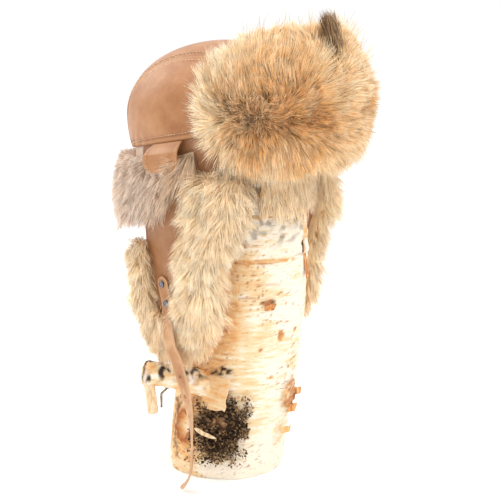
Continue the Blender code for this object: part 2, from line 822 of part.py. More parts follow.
def make_log(home, material, cutters):
    sections = []
    for share, _, width in LOG_ROWS:
        sections.append((log_axis(share), LOG_RADIUS * width))
    inner_rise = CROWN_RISE - LEATHER
    for share in (0.56, 0.50, 0.39, 0.24):
        radius = (HALF_WIDTH - LEATHER) * share
        dome = inner_rise * math.sqrt(1 - (radius / (HALF_WIDTH - LEATHER)) ** 2)
        sections.append((Vector((0.0, 0.0, WIDEST + dome - SEAT_GAP)), radius))
    bm = bmesh.new()
    rings = []
    for centre, radius in sections:
        ring = []
        for k in range(LOG_SIDES):
            turn = 2 * math.pi * k / LOG_SIDES
            ring.append(bm.verts.new(centre + radius * Vector((math.cos(turn), math.sin(turn), 0.0))))
        rings.append(ring)
    for lower, upper in zip(rings, rings[1:]):
        for k in range(LOG_SIDES):
            after = (k + 1) % LOG_SIDES
            bm.faces.new((lower[k], lower[after], upper[after], upper[k]))
    bm.faces.new(rings[0][::-1])
    bm.faces.new(rings[-1])
    log = place(bm, "log", material, home)
    root = Vector((*BRANCH_ROOT, BRANCH_LEVEL))
    tip = Vector((*BRANCH_TIP, BRANCH_RISEN))
    twig_tip = Vector((*TWIG_TIP, TWIG_LEVEL))
    grown = [
        stem("branch", root, tip, BRANCH_RADIUS, BRANCH_RADIUS * 0.92, cutters),
        stem("twig", tip.lerp(root, 0.10), twig_tip, TWIG_RADIUS, TWIG_RADIUS * 0.7, cutters),
        bark_curl(cutters),
    ]
    for piece in grown:
        join = log.modifiers.new(piece.name.capitalize(), "BOOLEAN")
        join.operation = "UNION"
        join.object = piece
    return log


def as_tool(bm, name, tools):
    mesh = bpy.data.meshes.new(name)
    bm.to_mesh(mesh)
    bm.free()
    obj = bpy.data.objects.new(name, mesh)
    obj.hide_render = True
    obj.display_type = "WIRE"
    tools.objects.link(obj)
    return obj


def stem(name, start, end, thick, thin, tools):
    """A round stem from start to end, tapering."""
    bm = bmesh.new()
    bmesh.ops.create_cone(bm, cap_ends=True, segments=12, radius1=thick, radius2=thin, depth=(end - start).length)
    obj = as_tool(bm, name, tools)
    obj.rotation_mode = "QUATERNION"
    obj.rotation_quaternion = (end - start).to_track_quat("Z", "Y")
    obj.location = (start + end) / 2
    return obj


def bark_curl(tools):
    """A tongue of bark that stays on the log at its rear edge and lifts off it at the other."""
    across, down = 5, 4
    axis = log_axis(CURL_HEIGHT / LOG_HEIGHT)
    bm = bmesh.new()
    sheets = []
    for layer in (0, 1):
        rows = []
        for i in range(down + 1):
            row = []
            for k in range(across + 1):
                out = LOG_RADIUS * 1.10 - CURL_THICKNESS + CURL_LIFT * (k / across) ** 1.3 + layer * CURL_THICKNESS
                turn = CURL_HEADING + (k / across - 0.3) * CURL_WIDTH / LOG_RADIUS
                round_off = math.cos(math.pi * (k / across - 0.5)) ** 0.5 if 0 < k < across else 0.35
                z = CURL_HEIGHT + CURL_DROP / 2 - CURL_DROP * (i / down) * (0.72 + 0.28 * round_off)
                row.append(bm.verts.new(axis + Vector((math.cos(turn) * out, math.sin(turn) * out, z - axis.z))))
            rows.append(row)
        sheets.append(rows)
    inner, outer = sheets
    for rows in sheets:
        for i in range(down):
            for k in range(across):
                bm.faces.new((rows[i][k], rows[i][k + 1], rows[i + 1][k + 1], rows[i + 1][k]))
    rim = [(0, k) for k in range(across)] + [(i, across) for i in range(down)]
    rim += [(down, k) for k in range(across, 0, -1)] + [(i, 0) for i in range(down, 0, -1)]
    for (i, k), (m, n) in zip(rim, rim[1:] + rim[:1]):
        bm.faces.new((inner[i][k], inner[m][n], outer[m][n], outer[i][k]))
    bmesh.ops.recalc_face_normals(bm, faces=bm.faces)
    return as_tool(bm, "bark_curl", tools)


def main():
    clear_scene()
    home = new_collection("Aviator hat on log")
    cutters = new_collection("Cutters")
    tan = surface("Tan leather", LEATHER_TAN, 0.5)
    strap_tan = surface("Strap leather", LEATHER_STRAP, 0.55)
    rust = surface("Rust lining", LINING_RUST, 0.45)
    gold = surface("Golden fur", FUR_GOLD, 0.9)
    cream = surface("Cream fur", FUR_CREAM, 0.9)
    grey = surface("Grey fur", FUR_GREY, 0.9)
    bark = surface("Birch bark", BIRCH_BARK, 0.75)
    metal = surface("Old metal", OLD_METAL, 0.35, 1.0)
    make_crown(home, tan)
    make_flaps(home, tan, rust)
    make_nape_band(home, tan)
    make_brim(home, gold)
    make_cuff(home, grey)
    make_borders(home, cream)
    make_brow(home, grey)
    make_tabs(home, tan)
    strap, made = make_strap(-1, "right", STRAP_ROUTE, 42, home, strap_tan)
    punch(strap, made, cutters)
    make_rivets(-1, "right", STRAP_ROUTE, home, metal)
    make_buckle_strap(home, strap_tan, metal)
    make_rivets(1, "left", BUCKLE_STRAP_ROUTE, home, metal)
    make_log(home, bark, cutters)


main()
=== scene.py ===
"""Looks of an aviator hat of tan leather and coyote fur, standing on its birch log.

Laid out as a Blender add-on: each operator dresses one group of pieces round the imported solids,
and one sets up the studio. Metres, +Z up. The brim faces -Y and the right ear is at -X. Angles
round the head are in degrees from the ear, towards the nape, and angles round the log are in
degrees to the right of the side that the camera sees.
"""

import math

import bmesh
import bpy
import numpy as np
from bpy.props import FloatProperty, IntProperty, PointerProperty
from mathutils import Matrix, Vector
from mathutils.bvhtree import BVHTree
from mathutils.kdtree import KDTree


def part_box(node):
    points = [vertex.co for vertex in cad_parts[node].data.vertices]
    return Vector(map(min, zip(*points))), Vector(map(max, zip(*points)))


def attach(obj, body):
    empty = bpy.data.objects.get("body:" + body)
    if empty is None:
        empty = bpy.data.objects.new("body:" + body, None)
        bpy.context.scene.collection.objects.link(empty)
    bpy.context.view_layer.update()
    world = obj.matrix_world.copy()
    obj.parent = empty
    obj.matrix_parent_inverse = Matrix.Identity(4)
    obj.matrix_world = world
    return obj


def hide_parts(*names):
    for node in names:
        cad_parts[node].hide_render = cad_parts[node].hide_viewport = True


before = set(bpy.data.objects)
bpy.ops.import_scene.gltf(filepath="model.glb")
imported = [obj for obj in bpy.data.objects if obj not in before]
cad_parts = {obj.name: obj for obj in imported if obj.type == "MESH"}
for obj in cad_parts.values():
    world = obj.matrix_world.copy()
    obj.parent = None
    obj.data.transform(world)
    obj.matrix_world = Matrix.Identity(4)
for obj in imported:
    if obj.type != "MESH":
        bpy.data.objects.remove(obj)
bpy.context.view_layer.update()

bl_info = {
    "name": "Aviator hat on birch log",
    "version": (1, 0, 0),
    "blender": (4, 5, 0),
    "location": "3D View > Sidebar > Hat",
    "description": "Leather, fur and bark for an aviator hat and the log that it stands on",
    "category": "Object",
}

MM = 0.001
DOWN = np.array((0.0, 0.0, -1.0))

# Lines of the crown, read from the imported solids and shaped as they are
CROWN_RISE = 0.080
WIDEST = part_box("crown_strip")[1].z - CROWN_RISE
HALF_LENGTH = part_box("crown_strip")[1].y
HALF_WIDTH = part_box("crown_side_left")[1].x
HALF_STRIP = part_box("crown_strip")[1].x
SEAM = 0.7 * MM
LEATHER = 2.5 * MM
HEM_DROP = 15.5 * MM
HEM_LEAST = 4 * MM
HEM_SLOPE = math.radians(12)
TUCK_SHARE = 0.055
TUCK_DEPTH = HEM_DROP + HALF_LENGTH * math.tan(HEM_SLOPE)

# Flaps, nape band and straps
FLAP_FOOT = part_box("ear_flap_right")[0].z
BAND_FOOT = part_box("nape_band")[0].z
FIT = 1.2 * MM
FLAP_LAP = 10 * MM
LEFT_FORWARD = 27 * MM
STRAIGHT = (22 * MM, 55 * MM)
SWING = (40 * MM, 80 * MM)
LINING = 3 * MM
LINING_IN = -3.5 * MM
STRAP_WIDTH = 14 * MM
STRAP_LEATHER = 2.4 * MM
STRAP_OUT = 1.3 * MM + STRAP_LEATHER
HOLE_RADIUS = 2.2 * MM
HOLE_PITCH = 22.5 * MM
HOLE_COUNT = 4
HOLE_START = 0.724
BUCKLE_WIRE = 1.4 * MM

# Ear flap outline: share of the drop, angle of the rear edge, angle of the front edge
FLAP_ROWS = (
    (0.00, 37.0, -25.0),
    (0.30, 37.0, -27.0),
    (0.48, 36.0, -26.0),
    (0.62, 33.5, -20.0),
    (0.74, 31.0, -15.0),
    (0.86, 29.0, -10.0),
    (0.93, 25.0, -4.0),
    (0.98, 19.5, 3.0),
    (1.00, 16.0, 6.0),
)

# Straps from the flap down: out of the leather and along Y in strap widths, height from the flap's
# foot in strap widths above it and as a share of the way to the floor below it, turn in degrees
STRAP_ROUTE = (
    (0.000, 1.986, 3.350, 0),
    (0.000, 1.871, 2.636, 0),
    (0.000, 1.479, 0.993, 0),
    (0.571, 1.214, 0.207, 0),
    (1.071, 0.571, -0.092, 4),
    (1.357, -0.071, -0.190, 8),
    (1.607, -0.536, -0.287, 12),
    (1.571, -0.821, -0.384, 20),
    (1.429, -1.000, -0.503, 30),
    (1.214, -1.036, -0.633, 42),
    (1.000, -0.964, -0.773, 50),
    (0.786, -0.750, -0.887, 52),
    (0.714, -0.357, -0.951, 50),
    (0.821, -0.071, -0.976, 48),
)
BUCKLE_STRAP_ROUTE = (
    (0.000, 1.986, 3.350, 0),
    (0.000, 1.871, 2.636, 0),
    (0.000, 1.457, 0.957, 0),
    (0.786, 1.286, 0.136, 0),
    (1.643, 1.071, -0.060, 0),
    (2.286, 0.929, -0.146, 0),
)

# Log: share of the height, share of the lean, share of the radius
LOG_HEIGHT = WIDEST + CROWN_RISE - LEATHER - MM
LOG_RADIUS = 63 * MM
LOG_LEAN = 26.8 * MM
LEAN_HEADING = math.radians(-75)
LOG_ROWS = (
    (0.000, 0.00, 1.080),
    (0.040, 0.05, 1.100),
    (0.085, 0.13, 1.110),
    (0.145, 0.26, 1.115),
    (0.205, 0.42, 1.115),
    (0.290, 0.68, 1.080),
    (0.400, 0.92, 1.040),
    (0.520, 1.00, 1.010),
    (0.600, 0.88, 0.990),
    (0.680, 0.70, 0.970),
    (0.760, 0.52, 0.950),
    (0.850, 0.32, 0.915),
    (0.930, 0.10, 0.840),
    (1.000, 0.00, 0.300),
)
BRANCH_ROOT = (-0.0560, -0.0100, 0.1070)
BRANCH_TIP = (-0.1070, 0.0440, 0.1285)
BRANCH_RADIUS = 14.2 * MM
PEG_TOP = (-0.1000, 0.0410, 0.1210)
PEG_FOOT = (-0.1012, 0.0345, 0.0800)
PEG_RADIUS = 6.0 * MM

# The line that the brim's hair lies away from, and the line where its black guard hairs stand
PARTING = np.array(((-0.1140, -0.0730, 0.4000), (-0.0700, -0.1360, 0.3930)))
STREAK = np.array(((-0.0300, -0.1400, 0.4860), (-0.0310, -0.1520, 0.4560)))
STREAK_SPREAD = np.array((4 * MM, 3 * MM, 4 * MM))
# Colour patches of the brim's fur: place, reach, and how much gold, grey and black each has
BRIM_PATCHES = (
    ((-0.1050, -0.1040, 0.4030), 0.060, 1.00, 0.00, 0.30),
    ((-0.0820, -0.1290, 0.3950), 0.045, 0.95, 0.00, 0.22),
    ((-0.0950, -0.1050, 0.4500), 0.050, 0.80, 0.00, 0.12),
    # The grey of the next two patches, on the brim's left side, is partly the fur's own grey and partly
    # painted shade.
    ((-0.1152, -0.0250, 0.4172), 0.045, 0.00, 0.35, 0.00),
    ((-0.1113, -0.0480, 0.4780), 0.040, 0.10, 0.25, 0.00),
    ((-0.0618, -0.1499, 0.4604), 0.016, 0.00, 0.05, 0.00),
    ((-0.0034, -0.1602, 0.4436), 0.024, 0.05, 0.00, 0.00),
    ((-0.0300, -0.1400, 0.4860), 0.012, 0.60, 0.00, 0.45),
    ((-0.0310, -0.1540, 0.4580), 0.011, 0.60, 0.00, 0.45),
    ((0.0087, -0.1650, 0.4000), 0.050, 0.60, 0.00, 0.05),
    ((-0.0903, -0.1018, 0.3583), 0.035, 0.55, 0.10, 0.10),
)


# Arrays and meshes


def unit(vectors):
    return vectors / np.maximum(np.linalg.norm(vectors, axis=-1, keepdims=True), 1e-12)


def ease(value, low=0.0, high=1.0):
    """0 below low, 1 above high and smooth between them."""
    t = np.clip((value - low) / (high - low), 0.0, 1.0)
    return t * t * (3 - 2 * t)


def blotches(points, size, seed, stretch=(1.0, 1.0, 1.0)):
    """Smooth random values from 0 to 1 that change over this size, stretched along X, Y and Z."""
    grid = np.random.default_rng(seed).random((32, 32, 32))
    place = points / (size * np.array(stretch))
    cell = np.floor(place).astype(int)
    t = place - cell
    t = t * t * (3 - 2 * t)
    total = np.zeros(points.shape[:-1])
    for corner in np.ndindex(2, 2, 2):
        near = np.prod(np.where(np.array(corner, bool), t, 1 - t), axis=-1)
        at = (cell + np.array(corner)) % 32
        total += near * grid[at[..., 0], at[..., 1], at[..., 2]]
    return total


def mottle(points, size, seed, stretch=(1.0, 1.0, 1.0)):
    """The same values, from -0.5 to 0.5."""
    return blotches(points, size, seed, stretch) - 0.5


def ridge(distance, at, width):
    """A rounded ridge of height 1 at this distance, about this wide."""
    return np.exp(-(((distance - at) / width) ** 2))


def row_at(rows, share):
    """The row of a table at this share of the way down it, on a smooth curve through the rows."""
    place_in = min(max(share, 0.0), 1.0) * (len(rows) - 1)
    i = min(int(place_in), len(rows) - 2)
    t = place_in - i
    before, start, end, after = (rows[min(max(i + k, 0), len(rows) - 1)] for k in (-1, 0, 1, 2))
    return tuple(
        b + 0.5 * t * (c - a + t * (2 * a - 5 * b + 4 * c - d + t * (3 * (b - c) + d - a)))
        for a, b, c, d in zip(before, start, end, after)
    )


def reach_along(line):
    """How far along a line of points each of them is."""
    return np.concatenate([[0.0], np.cumsum(np.linalg.norm(np.diff(line, axis=0), axis=1))])


def resample(line, count):
    """The same line as count + 1 points, evenly spaced along it."""
    line = np.asarray(line, float)
    reach = reach_along(line)
    at = np.linspace(0.0, reach[-1], count + 1)
    return np.stack([np.interp(at, reach, line[:, k]) for k in range(3)], axis=1)


def mesh_object(name, points, faces, material, **values):
    """A mesh object from arrays, with a float value at each point for each name in values."""
    groups = faces if isinstance(faces, list) else [faces]
    sizes = np.concatenate([np.full(len(group), group.shape[1]) for group in groups])
    corners = np.concatenate([group.ravel() for group in groups]).astype(np.int32)
    mesh = bpy.data.meshes.new(name)
    mesh.vertices.add(len(points))
    mesh.vertices.foreach_set("co", np.asarray(points, np.float32).ravel())
    mesh.loops.add(len(corners))
    mesh.loops.foreach_set("vertex_index", corners)
    mesh.polygons.add(len(sizes))
    mesh.polygons.foreach_set("loop_start", np.concatenate([[0], np.cumsum(sizes)[:-1]]).astype(np.int32))
    mesh.polygons.foreach_set("use_smooth", np.ones(len(sizes), bool))
    mesh.update(calc_edges=True)
    for key, value in values.items():
        layer = mesh.attributes.new(key, "FLOAT", "POINT")
        layer.data.foreach_set("value", np.asarray(value, np.float32).ravel())
    mesh.materials.append(material)
    obj = bpy.data.objects.new(name, mesh)
    bpy.context.scene.collection.objects.link(obj)
    return obj


def dress(obj, slot, *nodes):
    """The piece rides with the hat and stands for the nodes; the slot is not used."""
    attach(obj, "root")
    if nodes:
        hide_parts(*nodes)
    return obj


def grid_quads(rows, columns, start=0, closed=False):
    """Quads between neighbouring points of a grid, closed across its columns if asked."""
    index = start + np.arange(rows * columns).reshape(rows, columns)
    after = np.roll(index, -1, axis=1) if closed else index[:, 1:]
    here = index if closed else index[:, :-1]
    quads = np.stack([here[:-1], after[:-1], after[1:], here[1:]], axis=-1)
    return quads.reshape(-1, 4)


def edge_distance(grid):
    """How far each point of a grid is from its nearest edge."""
    near = []
    for axis in (0, 1):
        steps = np.linalg.norm(np.diff(grid, axis=axis), axis=2)
        reach = np.cumsum(steps, axis=axis)
        zero = np.zeros_like(np.take(reach, [0], axis=axis))
        reach = np.concatenate([zero, reach], axis=axis)
        near.append(np.minimum(reach, np.take(reach, [-1], axis=axis) - reach))
    return np.minimum(near[0], near[1])


def rim_of(rows, columns):
    """Indices round the edge of a grid, in order."""
    index = np.arange(rows * columns).reshape(rows, columns)
    return np.concatenate([index[0], index[1:, -1], index[-1, -2::-1], index[-2:0:-1, 0]])


def hide_piece(name, grid, outward, wall, material, relief=0.0, wear=5 * MM, crease_shade=0.0):
    """A leather sheet with rounded raw edges: grid is its outer face, relief raises it and crease
    is the painted shade of its creases and furrows.
    """
    rows, columns = grid.shape[:2]
    inside = grid - outward * wall
    outside = grid + outward * np.expand_dims(np.broadcast_to(relief, (rows, columns)), -1)
    rim = rim_of(rows, columns)
    inner = np.clip(np.stack([rim // columns, rim % columns], 1), 1, (rows - 2, columns - 2))
    flat = grid.reshape(-1, 3)
    away = unit(flat[rim] - flat[inner[:, 0] * columns + inner[:, 1]])
    middle = (outside.reshape(-1, 3)[rim] + inside.reshape(-1, 3)[rim]) / 2 + away * wall * 0.3
    points = np.concatenate([outside.reshape(-1, 3), inside.reshape(-1, 3), middle])
    count = rows * columns
    first = grid_quads(rows, columns)
    turned = np.einsum("ij,ij->i", np.cross(points[first[:, 1]] - points[first[:, 0]],
                                            points[first[:, 2]] - points[first[:, 0]]),
                       outward.reshape(-1, 3)[first[:, 0]]).sum() < 0
    ring = 2 * count + np.arange(len(rim))
    after = np.roll(np.arange(len(rim)), -1)
    sides = [
        np.stack([rim, ring, ring[after], rim[after]], 1),
        np.stack([ring, rim + count, rim[after] + count, ring[after]], 1),
    ]
    faces = np.concatenate([first, first[:, ::-1] + count, *sides])
    if turned:
        faces = faces[:, ::-1]
    edge = np.exp(-((edge_distance(grid) / wear) ** 2)).ravel()
    # The fold value carries the painted shade of creases and furrows into the finish.
    fold = np.broadcast_to(crease_shade, (rows, columns)).ravel()
    spread = [
        np.concatenate([edge, edge, np.ones(len(rim))]), np.concatenate([fold, fold, np.zeros(len(rim))])
    ]
    return mesh_object(name, points, faces, material, edge=spread[0], fold=spread[1])


# One stitch: place along it in pitches, then its thickness and its height in thread radii
STITCH = (
    (-0.50, 0.25, -1.2),
    (-0.42, 0.80, -0.2),
    (-0.20, 1.00, 0.5),
    (0.20, 1.00, 0.5),
    (0.42, 0.80, -0.2),
    (0.50, 0.25, -1.2),
)


def thread(name, runs, pitch, material, radius=0.42 * MM, length=0.72):
    """Sewn stitches along runs of points, each with the directions out of the leather there."""
    turns = np.arange(6) * math.pi / 3
    shape = np.array(STITCH)
    points, faces = [], []
    template = grid_quads(len(shape), 6, closed=True)
    for line, outward in runs:
        reach = reach_along(line)
        at = np.arange(pitch / 2, reach[-1], pitch)
        centre, out = (
            np.stack([np.interp(at, reach, part[:, k]) for k in range(3)], 1)
            for part in (line, outward)
        )
        along = unit(np.stack([np.gradient(centre[:, k]) for k in range(3)], 1))
        across = unit(np.cross(along, out))
        out = unit(np.cross(across, along))
        made = centre[:, None, None] + along[:, None, None] * (shape[:, 0, None, None] * pitch * length)
        made = made + out[:, None, None] * (shape[:, 2, None, None] * radius)
        wide = shape[:, 1, None, None] * radius
        made = (
            made
            + wide * (
                across[:, None, None] * np.cos(turns)[:, None] + out[:, None, None] * np.sin(turns)[:, None]
            )
        )
        start = sum(len(part) for part in points)
        points.append(made.reshape(-1, 3))
        step = start + np.arange(len(at)) * len(shape) * 6
        faces.append((template[None] + step[:, None, None]).reshape(-1, 4))
    return mesh_object(name, np.concatenate(points), np.concatenate(faces), material)


# Materials


def srgb(code):
    """Linear colour of a hex code."""
    parts = [int(code[i:i + 2], 16) / 255 for i in (0, 2, 4)]
    return tuple(c / 12.92 if c <= 0.04045 else ((c + 0.055) / 1.055) ** 2.4 for c in parts) + (1.0,)


def blank(name, roughness, sockets=None):
    """A new material with its shader's constant values set."""
    made = bpy.data.materials.new(name)
    made.use_nodes = True
    shader = made.node_tree.nodes["Principled BSDF"]
    shader.inputs["Roughness"].default_value = roughness
    for key, value in (sockets or {}).items():
        shader.inputs[key].default_value = value
    return made, made.node_tree, shader


def add(tree, kind, feeds=None, stops=(), **settings):
    """A shader node with its settings, its inputs filled or linked and its colour stops."""
    made = tree.nodes.new("ShaderNode" + kind)
    for key, value in settings.items():
        setattr(made, key, value)
    for key, value in (feeds or {}).items():
        if isinstance(value, bpy.types.NodeSocket):
            tree.links.new(value, made.inputs[key])
        else:
            made.inputs[key].default_value = value
    for i, (position, colour) in enumerate(stops):
        stop = made.color_ramp.elements[i] if i < 2 else made.color_ramp.elements.new(position)
        stop.position = position
        stop.color = srgb(colour) if isinstance(colour, str) else (colour, colour, colour, 1.0)
    return made


def waxed_cowhide(name, dark, middle, pale, roughness):
    """Full-grain cowhide, dyed through and waxed. The wax pulls the colour up in soft clouds, the
    pores show as fine pits, and rubbed edges and raised seams go paler. Creases and furrows are
    darkened with painted shade."""
    made, tree, shader = blank(name, roughness, {"Sheen Weight": 0.12, "Sheen Roughness": 0.4})
    place = add(tree, "TexCoord").outputs["Object"]
    cloud = add(tree, "TexNoise", {"Vector": place, "Scale": 1 / (34 * MM), "Detail": 5.0, "Roughness": 0.62})
    tone = add(tree, "ValToRGB", {"Fac": cloud.outputs["Fac"]}, ((0.26, dark), (0.72, pale), (0.50, middle)))
    scuff = add(tree, "TexNoise", {"Vector": place, "Scale": 1 / (5 * MM), "Detail": 3.0, "Distortion": 0.6})
    scuffed = add(tree, "ValToRGB", {"Fac": scuff.outputs["Fac"]}, ((0.55, 0.0), (0.85, 0.30)))
    worn = add(
        tree, "MixRGB",
        {"Fac": scuffed.outputs["Color"], "Color1": tone.outputs["Color"], "Color2": srgb(pale)},
    )
    edge = add(tree, "Attribute", attribute_name="edge")
    rubbed = add(tree, "Math", {0: edge.outputs["Fac"], 1: 0.55}, operation="MULTIPLY")
    rim = add(
        tree, "MixRGB", {"Fac": rubbed.outputs[0], "Color1": worn.outputs["Color"], "Color2": srgb(pale)}
    )
    # Painted shade: the fold value darkens creases and furrows towards the dark colour.
    fold = add(tree, "Attribute", attribute_name="fold")
    folded = add(
        tree, "MixRGB", {"Fac": fold.outputs["Fac"], "Color1": rim.outputs["Color"], "Color2": srgb(dark)},
        blend_type="MULTIPLY",
    )
    tree.links.new(folded.outputs["Color"], shader.inputs["Base Color"])
    rough = add(
        tree, "MapRange",
        {"Value": scuff.outputs["Fac"], "To Min": roughness - 0.10, "To Max": roughness + 0.12},
    )
    tree.links.new(rough.outputs["Result"], shader.inputs["Roughness"])
    # Cowhide's pores are 0.2 mm apart, too fine to show, so they are drawn 0.9 mm apart
    pores = add(tree, "TexVoronoi", {"Vector": place, "Scale": 1 / (0.9 * MM)})
    grain = add(tree, "TexNoise", {"Vector": place, "Scale": 1 / (2.4 * MM), "Detail": 4.0})
    height = add(tree, "Math", {0: pores.outputs["Distance"], 1: grain.outputs["Fac"]}, operation="ADD")
    bump = add(tree, "Bump", {"Height": height.outputs[0], "Strength": 0.35, "Distance": 0.25 * MM})
    wrinkle = add(
        tree, "Bump",
        {
            "Height": cloud.outputs["Fac"], "Strength": 0.3, "Distance": 3 * MM,
            "Normal": bump.outputs["Normal"],
        },
    )
    tree.links.new(wrinkle.outputs["Normal"], shader.inputs["Normal"])
    return made


def brushed_suede(name, dark, pale):
    """Suede split, brushed: no gloss, the nap lies in light and dark strokes."""
    made, tree, shader = blank(name, 0.9, {"Sheen Weight": 0.4})
    place = add(tree, "TexCoord").outputs["Object"]
    nap = add(tree, "TexNoise", {"Vector": place, "Scale": 1 / (7 * MM), "Detail": 6.0, "Distortion": 1.2})
    tone = add(tree, "ValToRGB", {"Fac": nap.outputs["Fac"]}, ((0.3, dark), (0.7, pale)))
    tree.links.new(tone.outputs["Color"], shader.inputs["Base Color"])
    fibre = add(tree, "TexNoise", {"Vector": place, "Scale": 1 / (0.8 * MM), "Detail": 2.0})
    bump = add(tree, "Bump", {"Height": fibre.outputs["Fac"], "Strength": 0.5, "Distance": 0.3 * MM})
    tree.links.new(bump.outputs["Normal"], shader.inputs["Normal"])
    return made


def linen_thread(name, dark, pale):
    """Waxed linen thread, twisted: pale, with the twist as fine slanting shade."""
    made, tree, shader = blank(name, 0.6)
    place = add(tree, "TexCoord").outputs["Object"]
    twist = add(
        tree, "TexWave", {"Vector": place, "Scale": 1 / (6 * MM), "Distortion": 2.0},
        bands_direction="DIAGONAL",
    )
    tone = add(tree, "ValToRGB", {"Fac": twist.outputs["Fac"]}, ((0.2, dark), (0.7, pale)))
    tree.links.new(tone.outputs["Color"], shader.inputs["Base Color"])
    return made


def coyote_fur(name, pale, golden, grey, black):
    """Coyote pelt, dressed with the hair on. Each hair is banded: woolly, greyish and darker at its
    root, golden along its length, darker below a pale tip, and guard hairs end black. The darker
    root is partly the wool's own grey and partly painted shade for the depth among the hairs."""
    made, tree, shader = blank(
        name, 0.62, {"Sheen Weight": 0.25, "Sheen Roughness": 0.5, "Specular IOR Level": 0.35}
    )
    along, gold, ash, jet, tone = (
        add(tree, "Attribute", attribute_name=key).outputs["Fac"]
        for key in ("along", "gold", "ash", "jet", "tone")
    )
    # The first colour of each band, at the root, is darker: partly the wool's grey, partly painted shade.
    bands = [
        add(tree, "ValToRGB", {"Fac": along}, ((0.0, a), (1.0, d), (0.38, b), (0.78, c)))
        for a, b, c, d in (pale, golden, grey)
    ]
    warm = add(
        tree, "MixRGB",
        {"Fac": gold, "Color1": bands[0].outputs["Color"], "Color2": bands[1].outputs["Color"]},
    )
    cool = add(
        tree, "MixRGB", {"Fac": ash, "Color1": warm.outputs["Color"], "Color2": bands[2].outputs["Color"]}
    )
    dark = add(tree, "MixRGB", {"Fac": jet, "Color1": cool.outputs["Color"], "Color2": srgb(black)})
    shade = add(tree, "MapRange", {"Value": tone, "To Min": 0.66, "To Max": 1.28})
    place = add(tree, "TexCoord").outputs["Object"]
    wisps = add(tree, "TexNoise", {"Vector": place, "Scale": 1 / (9 * MM), "Detail": 2.0})
    drift = add(
        tree, "MapRange",
        {"Value": wisps.outputs["Fac"], "From Min": 0.3, "From Max": 0.7, "To Min": 0.86, "To Max": 1.1},
    )
    level = add(tree, "Math", {0: shade.outputs["Result"], 1: drift.outputs["Result"]}, operation="MULTIPLY")
    lit = add(tree, "VectorMath", {0: dark.outputs["Color"], "Scale": level.outputs[0]}, operation="SCALE")
    tree.links.new(lit.outputs["Vector"], shader.inputs["Base Color"])
    return made


def silver_birch(name, white, peach, brown, black):
    """Silver birch bark, peeled by hand in papery layers: chalky white skin over peach inner
    layers, with short dark pores that run round the trunk. The bare value also carries painted
    light: the log's right side whiter, its left side more peach as painted shade and a painted
    warm reflection."""
    made, tree, shader = blank(name, 0.7, {"Specular IOR Level": 0.3})
    place = add(tree, "TexCoord").outputs["Object"]
    bare, rust, soot = (
        add(tree, "Attribute", attribute_name=key).outputs["Fac"]
        for key in ("bare", "rust", "soot")
    )
    lying = add(tree, "Mapping", {"Vector": place, "Scale": (1.0, 1.0, 5.0)})
    streak = add(
        tree, "TexNoise",
        {"Vector": lying.outputs["Vector"], "Scale": 1 / (22 * MM), "Detail": 6.0, "Roughness": 0.65},
    )
    # The bare value is peeled bark plus painted light and shade on the log's two sides.
    peeled = add(tree, "Math", {0: streak.outputs["Fac"], 1: bare}, operation="ADD")
    skin = add(
        tree, "ValToRGB", {"Fac": peeled.outputs[0]},
        ((0.46, white[0]), (1.0, peach[1]), (0.58, white[1]), (0.84, peach[0])),
    )
    # Pores of the bark are 3 to 12 mm long and under 1 mm high
    dashes = add(tree, "Mapping", {"Vector": place, "Scale": (1.0, 1.0, 7.0)})
    pores = add(tree, "TexNoise", {"Vector": dashes.outputs["Vector"], "Scale": 1 / (8 * MM), "Detail": 1.0})
    dash = add(tree, "ValToRGB", {"Fac": pores.outputs["Fac"]}, ((0.66, 0.0), (0.74, 0.6)))
    marked = add(
        tree, "MixRGB",
        {"Fac": dash.outputs["Color"], "Color1": skin.outputs["Color"], "Color2": srgb(brown[0])},
    )
    torn = add(tree, "MixRGB", {"Fac": rust, "Color1": marked.outputs["Color"], "Color2": srgb(brown[1])})
    burnt = add(tree, "MixRGB", {"Fac": soot, "Color1": torn.outputs["Color"], "Color2": srgb(black)})
    tree.links.new(burnt.outputs["Color"], shader.inputs["Base Color"])
    flakes = add(
        tree, "TexNoise",
        {"Vector": lying.outputs["Vector"], "Scale": 1 / (5 * MM), "Detail": 8.0, "Roughness": 0.7},
    )
    bump = add(tree, "Bump", {"Height": flakes.outputs["Fac"], "Strength": 0.6, "Distance": 1.0 * MM})
    tree.links.new(bump.outputs["Normal"], shader.inputs["Normal"])
    return made


def inner_bark(name, dark, middle, pale, roughness=0.75):
    """Inner bark and torn wood: fibrous, matt, running from rust to pale straw along the grain."""
    made, tree, shader = blank(name, roughness)
    place = add(tree, "TexCoord").outputs["Object"]
    grain = add(tree, "Mapping", {"Vector": place, "Scale": (1.0, 1.0, 0.25)})
    fibre = add(
        tree, "TexNoise",
        {"Vector": grain.outputs["Vector"], "Scale": 1 / (3 * MM), "Detail": 5.0, "Distortion": 0.8},
    )
    tone = add(tree, "ValToRGB", {"Fac": fibre.outputs["Fac"]}, ((0.30, dark), (0.72, pale), (0.50, middle)))
    tree.links.new(tone.outputs["Color"], shader.inputs["Base Color"])
    bump = add(tree, "Bump", {"Height": fibre.outputs["Fac"], "Strength": 0.6, "Distance": 0.7 * MM})
    tree.links.new(bump.outputs["Normal"], shader.inputs["Normal"])
    return made


def dry_moss(name, dark, brown, straw):
    """Dead moss and lichen: crumbs of near black, brown and straw with no gloss."""
    made, tree, shader = blank(name, 0.95)
    place = add(tree, "TexCoord").outputs["Object"]
    crumbs = add(tree, "TexVoronoi", {"Vector": place, "Scale": 1 / (2.2 * MM)})
    tone = add(
        tree, "ValToRGB", {"Fac": crumbs.outputs["Color"]}, ((0.25, dark), (0.85, straw), (0.6, brown))
    )
    tree.links.new(tone.outputs["Color"], shader.inputs["Base Color"])
    return made


